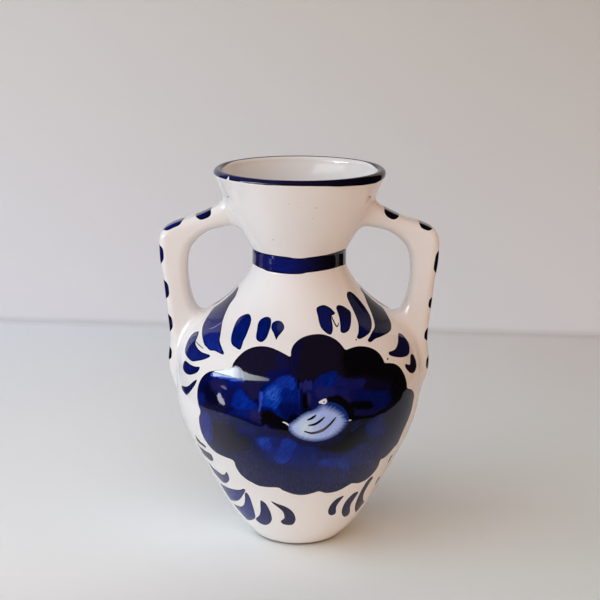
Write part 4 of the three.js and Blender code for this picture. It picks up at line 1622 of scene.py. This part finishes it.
footStrokes = {
    "sliverOne": [
        (195.5, 435), (197.5, 438), (200.5, 441.5), (204, 444.5), (206, 446.5), (205.5, 447.8),
        (202.5, 445.8), (199, 443), (196.5, 439.5)],
    "sliverTwo": [
        (197.5, 443.5), (200, 446.5), (205, 450.5), (209.5, 453.2), (211.5, 455), (213.3, 460),
        (211, 460.8), (208, 458.5), (203.5, 454), (200, 449.5)],
    "commaA": [
        (203, 457.5), (205, 458.5), (209, 463), (213, 467.5), (218.5, 472), (222.5, 474.5), (225, 474),
        (225.6, 472.2), (226.8, 472.3), (228.5, 475.5), (229.3, 479.5), (228, 482), (225.5, 483),
        (222, 481.5), (218, 477), (213, 471.5), (208.5, 466.5), (205, 461.5)],
    "commaB": [
        (210, 471.5), (213, 476), (218, 481), (223, 485), (229, 488), (235, 489.5), (240, 489.8),
        (243, 488.8), (245, 489.3), (245, 491.5), (243.5, 494), (241, 498), (238.5, 500.3), (234, 500.8),
        (229, 499), (224, 495), (219.5, 490), (215.5, 483.5), (212, 477)],
    "commaC": [
        (230, 502), (232, 502.8), (236, 505), (239.5, 506.3), (242.5, 506), (244.5, 503), (245, 498),
        (244.8, 494), (246, 492.3), (248, 494), (250.5, 499), (252.5, 505), (254.5, 512), (255.3, 517),
        (253.5, 519.3), (250, 520.2), (246, 519), (241.5, 515.5), (237.5, 511.5), (233, 506)],
    "commaD": [
        (260.5, 500.5), (262, 500.8), (265.5, 503.5), (268.5, 508), (271, 514), (271.8, 519), (270, 523),
        (266, 525), (261.5, 524), (257.5, 521.3), (255.8, 518.8), (257.5, 517), (259.5, 515),
        (260.5, 510.5), (260.3, 504)],
    "commaE": [
        (271, 501.5), (273, 501.8), (278, 504), (284, 506), (289.5, 509), (293.5, 513), (295.5, 518),
        (294.8, 522), (292.5, 524.5), (288, 525), (283, 524), (280.8, 521.5), (282, 520), (284, 518.5),
        (284.3, 516), (283, 512), (279.5, 508.5), (275, 505)],
    "commaF": [
        (343.5, 495.7), (343.3, 497), (340.5, 500.5), (337.5, 504.5), (336, 508), (336, 511.5), (335, 514),
        (331.5, 515.3), (328.7, 514), (328.2, 510.5), (330, 506), (333.5, 501.5), (338, 498)],
    "commaG": [
        (358, 491.5), (357.5, 494), (354.5, 498.5), (351.5, 503), (350, 507.5), (349.8, 512), (348, 515.2),
        (344.5, 516.8), (342.3, 515), (341.7, 511.5), (343, 506.5), (346, 501), (350, 496.5), (354, 493)],
    "commaH": [
        (373, 476.5), (372.5, 478.5), (369, 484), (365.5, 490), (363.5, 495), (363.3, 500), (364.8, 503),
        (363, 506.5), (360, 511), (357.5, 512.7), (355.3, 511.5), (355, 507), (356.5, 501), (359.5, 494),
        (363, 487.5), (367.5, 480.5), (371, 477)],
    "sliverThree": [
        (380.3, 476.5), (379.5, 480), (377, 485.5), (375, 488.5), (374.8, 486), (376.5, 481),
        (378.5, 477.5)],
    "sliverFour": [
        (392.5, 455), (390.8, 460), (388.3, 467), (387, 468.5), (387.5, 464), (389.5, 458.5),
        (391.5, 455.5)],
}


# tone at the upper and at the lower end of each stroke, and its painted sheen. The tones are partly the
# wash's own and partly painted light, paler on the lit left than on the shaded right
strokeTones = {
    "leafLeft": (0.16, 0.66, 0.3), "barOne": (0.40, 0.56, 0.0), "barTwo": (0.40, 0.44, 0.0),
    "drop": (0.38, 0.38, 0.0), "crescentLeft": (0.34, 0.52, 0.3), "smallCrescentLeft": (0.40, 0.32, 0.1),
    "tickLeft": (0.30, 0.36, 0.4), "barThree": (0.32, 0.36, 0.3), "barFour": (0.14, 0.34, 0.3),
    "longLeaf": (0.14, 0.30, 0.1), "leafRight": (0.14, 0.20, 0.1), "crescentRight": (0.24, 0.20, 0.2),
    "smallCrescentRight": (0.10, 0.08, 0.2), "dotOne": (0.1, 0.1, 0), "dotTwo": (0.1, 0.1, 0),
    "hook": (0.12, 0.12, 0.0), "sliverOne": (0.20, 0.12, 0.3), "sliverTwo": (0.20, 0.20, 0.4),
    "commaA": (0.38, 0.40, 1.2), "commaB": (0.42, 0.54, 1.2), "commaC": (0.50, 0.54, 1.2),
    "commaD": (0.38, 0.40, 0.6), "commaE": (0.20, 0.28, 0.2), "commaF": (0.28, 0.28, 0.2),
    "commaG": (0.26, 0.30, 0.2), "commaH": (0.26, 0.28, 0.2), "sliverThree": (0.16, 0.16, 0.2),
    "sliverFour": (0.16, 0.16, 0.2),
}


def strokePatch(name, outline, number):
    patch = paintedPatch(outline, 0.5)
    top, bottom, paintedSheen = strokeTones[name]
    row = patch["pixels"][:, 1]
    tone = top + (bottom - top) * (row - row.min()) / max(row.max() - row.min(), 1e-6)
    flat = patch["flat"]
    patch["values"] = washValues(tone, paintedSheen, brushWay(flat, longWay(flat), number), patch["depth"])
    return patch


def buildStrokes(name, outlines, material):
    patches = [strokePatch(key, outline, n) for n, (key, outline) in enumerate(outlines.items())]
    paint(name, patches, material)
    # the back isn't in the photograph: the same rows go on round it
    back = [{**patch, "points": otherSide(patch["points"]),
             "normals": otherSide(patch["normals"])} for patch in patches]
    paint(name + "Back", back, material)


shoulderStrokes["hook"] = strokeLoop([(331.2, 315.2), (334, 322), (337, 326.6), (338.9, 322.6)], 1.3)
# these two mirror the table only faintly, so they are a piece of their own
underHandle = {key: shoulderStrokes.pop(key) for key in ("longLeaf", "leafRight")}
buildStrokes("shoulderStrokes", shoulderStrokes, washMaterial)
buildStrokes("rightLeaves", underHandle, quietMaterial)
buildStrokes("footStrokes", footStrokes, washMaterial)
print("leaves and commas painted")


# small faults of the glaze: specks, a stray line of slip and a scratch

glazeFaults = {
    # middle and width in pixels
    "specks": [
        (288.6, 204.4, 0.9), (298.5, 208, 0.8), (316, 208, 1.2), (313, 218.5, 0.9), (273.2, 239.6, 1.2),
        (228.2, 196.6, 1.8), (370, 197, 1.9), (324, 226, 0.7), (253, 226, 0.6), (282, 300, 0.6),
        (303, 291, 0.6), (246, 364, 0.6)],
    "speckColour": (0.30, 0.22, 0.19),
    # points and width in pixels, lift in mm, colour
    "slipLine": ([(195.6, 341.4), (198.6, 344.6), (203.4, 348.6)], 1.2, 0.05, (0.16, 0.13, 0.09)),
    "scratch": ([(208, 329.2), (214, 327.4), (222.4, 322.2)], 0.9, 0.06, (0.16, 0.20, 0.34)),
    "gloss": 0.2,
    "spacing": 0.3,
    "speckCorners": 7,
    "speckUneven": (0.75, 1.2),
    "speckStep": 0.2,
    "lineStep": 0.25,
}


def faultMaterial(name, colour):
    def shade(tree, skin):
        return mixColours(tree, skin.outputs["Cloud"], colour, tuple(c * 1.5 for c in colour))
    return glazed(newMaterial(name), shade, pinholes=0.0, gloss=glazeFaults["gloss"])


def buildFaults():
    patches = []
    rng = np.random.default_rng(44)
    corners = glazeFaults["speckCorners"]
    turn = np.linspace(0, 2 * math.pi, corners, endpoint=False)
    for x, y, width in glazeFaults["specks"]:
        size = width / 2 * rng.uniform(*glazeFaults["speckUneven"], corners)
        patches.append(paintedPatch(np.stack([x + size * np.cos(turn), y + size * np.sin(turn)], 1),
                                    glazeFaults["spacing"], edgeStep=glazeFaults["speckStep"]))
    paint("specks", patches, faultMaterial("ironSpeck", glazeFaults["speckColour"]))
    for name in ("slipLine", "scratch"):
        line, width, lift, colour = glazeFaults[name]
        patch = paintedPatch(strokeLoop(line, width), glazeFaults["spacing"],
                             lift=lift, edgeStep=glazeFaults["lineStep"])
        paint(name, [patch], faultMaterial(name, colour))


buildFaults()
print("glaze faults placed")


# table, wall and light

studio = {
    # in metres. The table's outline and the wall's width are as their reflections in the glaze show them
    "table": [
        (-0.225, 0.39), (-0.222, 0.0), (-0.213, -0.055), (-0.194, -0.095), (-0.168, -0.125),
        (-0.13, -0.139), (-0.098, -0.143), (-0.08, -0.155), (-0.02, -0.160), (0.078, -0.164),
        (0.12, -0.155), (0.144, -0.138), (0.161, -0.122), (0.170, -0.105), (0.178, -0.08), (0.198, -0.062),
        (0.204, -0.042), (0.22, -0.021), (0.236, 0.005), (0.26, 0.045), (0.30, 0.08), (0.33, 0.39)],
    "wallBack": 0.39,
    "wallSides": (-0.55, 0.32),
    "wallTop": 0.5,
    "wallBottom": -0.2,
    "wallTurn": -4.4,        # degrees, the wall isn't square to the camera
    # the floor and the wall that the camera sees reach further
    "wideRoom": 1.25,
    "wideTop": 1.0,
    # daylight falls off across the table: near left, near right, far left, far right, and from where to where
    "tableColours": [(0.98, 0.985, 0.98), (0.82, 0.885, 0.875), (0.82, 0.86, 0.895), (0.75, 0.735, 0.715)],
    "tableReach": ("X", -0.17, 0.17, "Y", -0.08, 0.39),
    "tableRoughness": 0.5,
    # the same for the table that the glaze mirrors
    "mirroredColours": [(0.97, 0.97, 0.97), (0.67, 0.74, 0.72), (0.775, 0.815, 0.855), (0.685, 0.68, 0.66)],
    # and for the wall: low left, low right, high left and high right
    "wallColours": [
        (0.765, 0.785, 0.835), (0.745, 0.785, 0.825), (0.625, 0.632, 0.62), (0.56, 0.57, 0.545)],
    "wallReach": ("X", -0.20, 0.20, "Z", 0.0, 0.24),
    "wallRoughness": 0.9,
    # painted shade: darker stretches, from where to where, and the share of the colour that is left
    # the table's front as the glaze mirrors it, in the shadow of whoever stands there
    "mirroredFrontShade": ("Y", -0.045, -0.105, 0.42),
    # the corner where the table meets the wall
    "tableCornerShade": ("Y", 0.374, 0.3895, 0.90),
    "wallCornerShade": ("Z", 0.0042, 0.0, 0.87),
    # the window by compass and height in degrees as the glaze reflects it, azimuth 0 towards the camera
    "window": [(-85, 0), (-75, 4), (-64, 6), (-52, 7), (-40, 9), (-31, 10), (-24, 11.5), (-24, 13),
               (-30, 15), (-38, 16.6), (-47, 17.4), (-54, 19.5), (-62, 24), (-71, 17), (-79, 11), (-87, 4)],
    "windowLight": (13.5, 3.2),      # strength at its two ends, and where these are in y
    "windowFall": (-0.3, -2.4),
    "windowColour": (0.90, 0.96, 1.0),
    "windowAim": (-0.03, -0.05, 0.09),       # the point of the glaze that mirrors it, and how far off it is
    "windowAway": 1.2,
    # small bright things that the left lobe mirrors: corners, colour, strength
    "glints": [([(-80.7, -14.3), (-78.6, -12.4), (-76.2, -12.3), (-74.8, -14.7), (-72.4, -16.9),
                 (-70.8, -19.6), (-72.8, -20.4), (-77.8, -19.3), (-80.1, -17.1)], (0.85, 0.84, 1.0), 10.0),
               ([(-75.3, -4.7), (-71.3, -4.1), (-67.4, -6.4), (-68.5, -7.9), (-72.4, -7.0), (-75.3, -6.0)],
                (0.9, 0.7, 1.0), 4.0)],
    "glintAim": (-0.035, -0.048, 0.084),
    "glintAway": 0.21,
    # thin lights mirrored where these pixels are: outline, distance from the glaze in mm, strength
    "highlights": {
        "bandGlint": ([(269.5, 260), (272, 260.3), (271.4, 262), (272.4, 264.4), (270.2, 264.2),
                       (269, 262)], 45, 1.6),
    },
    # and one inside the mouth: its corners in mm
    "mouthLight": [
        (-11.0, -10.5, 208.0), (-24.5, 0.5, 205.5), (-31.0, 17.5, 202.0), (-29.5, 16.5, 206.5),
        (-26.0, 2.5, 209.0), (-15.0, -9.0, 211.5)],
    "mouthStrength": 2.6,
    "thinLightColour": (0.95, 0.97, 1.0),
    # soft lamps: azimuth, height, distance, width, height, strength, colour
    "lamps": {
        "windowSide": (-78, 12, 1.6, 1.6, 1.2, 1.58, (0.77, 0.89, 1.0)),
        "windowHigh": (-78, 42, 1.6, 1.6, 1.2, 1.26, (0.75, 0.86, 1.0)),
        "windowLow": (-60, 2, 1.6, 1.4, 0.5, 0.95, (0.66, 0.76, 1.0)),
        "front": (-15, 25, 1.8, 1.6, 1.2, 0.66, (1.0, 0.80, 0.67)),
        "above": (-15, 58, 1.6, 1.6, 1.2, 1.62, (1.0, 0.975, 0.985)),
        "frontLow": (0, 4, 1.6, 1.6, 0.5, 1.90, (1.0, 0.77, 0.65)),
        "warmLow": (55, 2, 1.6, 1.4, 0.5, 1.20, (1.0, 0.33, 0.04)),
        "warmSide": (85, 16, 1.6, 1.6, 1.2, 0.70, (1.0, 0.41, 0.04)),
    },
    "lampAim": (0, 0, 0.08),
    # the room's own dim light, the dark side of the room that the glaze mirrors, and the pale background
    "room": ((1.0, 0.65, 0.35), 0.05),
    "darkRoom": ((1.0, 0.8, 0.65), 0.016),
    "darkRoomReach": 2.4,
    "darkRoomBelow": -0.4,
    "background": (0.80, 0.82, 0.84),
}


def stageMesh(name, points, material):
    mesh = bpy.data.meshes.new(name)
    mesh.from_pydata(points, [], [tuple(range(len(points)))])
    mesh.materials.append(material)
    piece = bpy.data.objects.new(name, mesh)
    picture.collection.objects.link(piece)
    return piece


def stageMaterial(name, colours, reach, roughness, shade, seenThrough=False):
    # a wall that is seen through is clear from behind, for the views from the back
    material = newMaterial(name)
    tree = material.node_tree
    shader = addNode(tree, "ShaderNodeBsdfPrincipled")
    across, away = alongAxis(tree, *reach[:3]), alongAxis(tree, *reach[3:])
    near = mixColours(tree, across, colours[0], colours[1])
    far = mixColours(tree, across, colours[2], colours[3])
    axis, start, end, left = shade
    kept = alongAxis(tree, axis, start, end, 1, left, "SMOOTHSTEP")
    colour = mixColours(tree, kept, (0, 0, 0), mixColours(tree, away, near, far))
    tree.links.new(colour, shader.inputs["Base Color"])
    setInputs(shader, Roughness=roughness)
    output = addNode(tree, "ShaderNodeOutputMaterial")
    if seenThrough:
        mixed = addNode(tree, "ShaderNodeMixShader")
        tree.links.new(addNode(tree, "ShaderNodeNewGeometry").outputs["Backfacing"], mixed.inputs[0])
        tree.links.new(shader.outputs[0], mixed.inputs[1])
        tree.links.new(addNode(tree, "ShaderNodeBsdfTransparent").outputs[0], mixed.inputs[2])
        shader = mixed
    tree.links.new(shader.outputs[0], output.inputs[0])
    return material


def glowMaterial(name, colour, strength=1.0):
    material = newMaterial(name)
    tree = material.node_tree
    glow = addNode(tree, "ShaderNodeEmission")
    setInputs(glow, Color=(*colour, 1), Strength=strength)
    tree.links.new(glow.outputs[0], addNode(tree, "ShaderNodeOutputMaterial").inputs[0])
    return material, glow


def compass(azimuth, height, distance):
    turn, lift = math.radians(azimuth), math.radians(height)
    return Vector((math.sin(turn) * math.cos(lift), -math.cos(turn) * math.cos(lift),
                   math.sin(lift))) * distance


def wallCorners(left, right, back, top):
    low = studio["wallBottom"]
    return [(left, back, low), (right, back, low), (right, back, top), (left, back, top)]


def buildTableAndWall():
    paleTable = stageMaterial("paleTable", studio["tableColours"], studio["tableReach"],
                              studio["tableRoughness"], studio["tableCornerShade"])
    paleWall = stageMaterial("paleWall", studio["wallColours"], studio["wallReach"],
                             studio["wallRoughness"], studio["wallCornerShade"], seenThrough=True)
    mirrored = stageMaterial("mirroredTable", studio["mirroredColours"], studio["tableReach"],
                             studio["tableRoughness"], studio["mirroredFrontShade"])
    # the glaze mirrors this table from above, and the camera doesn't see it
    table = stageMesh("table", [(x, y, -0.0002) for x, y in studio["table"][::-1]], mirrored)
    table.visible_camera = table.visible_diffuse = table.visible_shadow = False
    back, wide = studio["wallBack"], studio["wideRoom"]
    wall = stageMesh("wall", wallCorners(*studio["wallSides"], back, studio["wallTop"]), paleWall)
    # the camera sees this floor and this wall, and the glaze doesn't mirror them
    rim = [math.radians(angle) for angle in range(0, 360, 3)]
    floor = stageMesh("floor", [(wide * math.cos(turn), wide * math.sin(turn), -0.0006) for turn in rim],
                      paleTable)
    wideWall = stageMesh("wideWall", wallCorners(-wide, wide, back + 0.001, studio["wideTop"]), paleWall)
    floor.visible_glossy = wideWall.visible_glossy = False
    for piece in (floor, wideWall, wall):
        piece.rotation_euler.z = math.radians(studio["wallTurn"])


def buildDarkRoom():
    # the rest of the room is dark, and only the glaze mirrors it
    material = glowMaterial("darkRoom", *studio["darkRoom"])[0]
    far = studio["darkRoomReach"]
    for name, axis, side in (("roomFront", 1, -far), ("roomLeft", 0, -far), ("roomRight", 0, far),
                             ("roomBehind", 1, far), ("ceiling", 2, far),
                             ("underTable", 2, studio["darkRoomBelow"])):
        corners = []
        for a, b in ((-far, -far), (far, -far), (far, far), (-far, far)):
            corner = [a, b]
            corner.insert(axis, side)
            corners.append(tuple(corner))
        plane = stageMesh(name, corners, material)
        plane.visible_camera = plane.visible_transmission = False
        plane.visible_diffuse = plane.visible_shadow = False


def brightCard(name, corners, aim, away, colour, strong, weak):
    # a shape of light by compass and height from a point of the glaze, on a plane to its left
    aim, points = Vector(aim), []
    for azimuth, height in corners:
        reach = compass(azimuth, height, 1.0)
        points.append(aim + reach * (away / max(-reach.x, 0.05)))
    material, glow = glowMaterial(name, colour)
    tree = material.node_tree
    tree.links.new(alongAxis(tree, "Y", *studio["windowFall"], strong, weak), glow.inputs["Strength"])
    card = stageMesh(name, points, material)
    card.visible_camera = card.visible_diffuse = False
    return card


def buildWindow():
    brightCard("window", studio["window"], studio["windowAim"], studio["windowAway"],
               studio["windowColour"], *studio["windowLight"])
    for n, (corners, colour, strength) in enumerate(studio["glints"]):
        card = brightCard("glint%d" % n, corners, studio["glintAim"], studio["glintAway"],
                          colour, strength, strength)
        card.visible_shadow = False


def thinLight(name, spots, strength):
    card = stageMesh(name, [tuple(spot * mm) for spot in spots],
                     glowMaterial(name, studio["thinLightColour"], strength)[0])
    card.visible_camera = card.visible_diffuse = card.visible_shadow = False


def buildHighlights():
    for name, (outline, distance, strength) in studio["highlights"].items():
        # where a small light must be for the glaze to show it at these pixels
        pixels = np.array(outline, float)
        skin, rays = ontoVase(pixels), pixelRays(pixels)
        normals = skinNormal(skin)
        mirrored = rays - 2 * (rays * normals).sum(1)[:, None] * normals
        thinLight(name, skin + mirrored * distance, strength)
    thinLight("mouthLight", np.array(studio["mouthLight"]), studio["mouthStrength"])


def addLamp(name, azimuth, height, distance, width, tall, strength, colour):
    # a soft rectangle of light that faces the vase and isn't mirrored in it
    data = bpy.data.lights.new(name, "AREA")
    data.shape = "RECTANGLE"
    data.size, data.size_y = width, tall
    data.energy = strength * width * tall * math.pi
    data.color = colour
    lamp = bpy.data.objects.new(name, data)
    aim = Vector(studio["lampAim"])
    place = aim + compass(azimuth, height, distance)
    turn = (aim - place).to_track_quat("-Z", "Y").to_matrix().to_4x4()
    lamp.matrix_world = Matrix.Translation(place) @ turn
    lamp.visible_camera = lamp.visible_glossy = False
    picture.collection.objects.link(lamp)


def buildLight():
    for name, values in studio["lamps"].items():
        addLamp(name, *values)
    world = bpy.data.worlds.new("room")
    world.use_nodes = True
    tree = world.node_tree
    dim = tree.nodes["Background"]
    colour, strength = studio["room"]
    setInputs(dim, Color=(*colour, 1), Strength=strength)
    pale = addNode(tree, "ShaderNodeBackground")
    setInputs(pale, Color=(*studio["background"], 1), Strength=1.0)
    # the camera and the glaze see the pale background, and everything else gets the dim light
    path = addNode(tree, "ShaderNodeLightPath")
    seen = mathNode(tree, "ADD", path.outputs["Is Camera Ray"], path.outputs["Is Glossy Ray"])
    seen = mathNode(tree, "ADD", seen, path.outputs["Is Transmission Ray"], clamp=True)
    mixed = addNode(tree, "ShaderNodeMixShader")
    for socket, output in zip(mixed.inputs, (seen, dim.outputs[0], pale.outputs[0])):
        tree.links.new(output, socket)
    tree.links.new(mixed.outputs[0], tree.nodes["World Output"].inputs["Surface"])
    picture.world = world
    picture.view_settings.view_transform = "Standard"


buildTableAndWall()
buildDarkRoom()
buildWindow()
buildHighlights()
buildLight()
print("stage and light set")
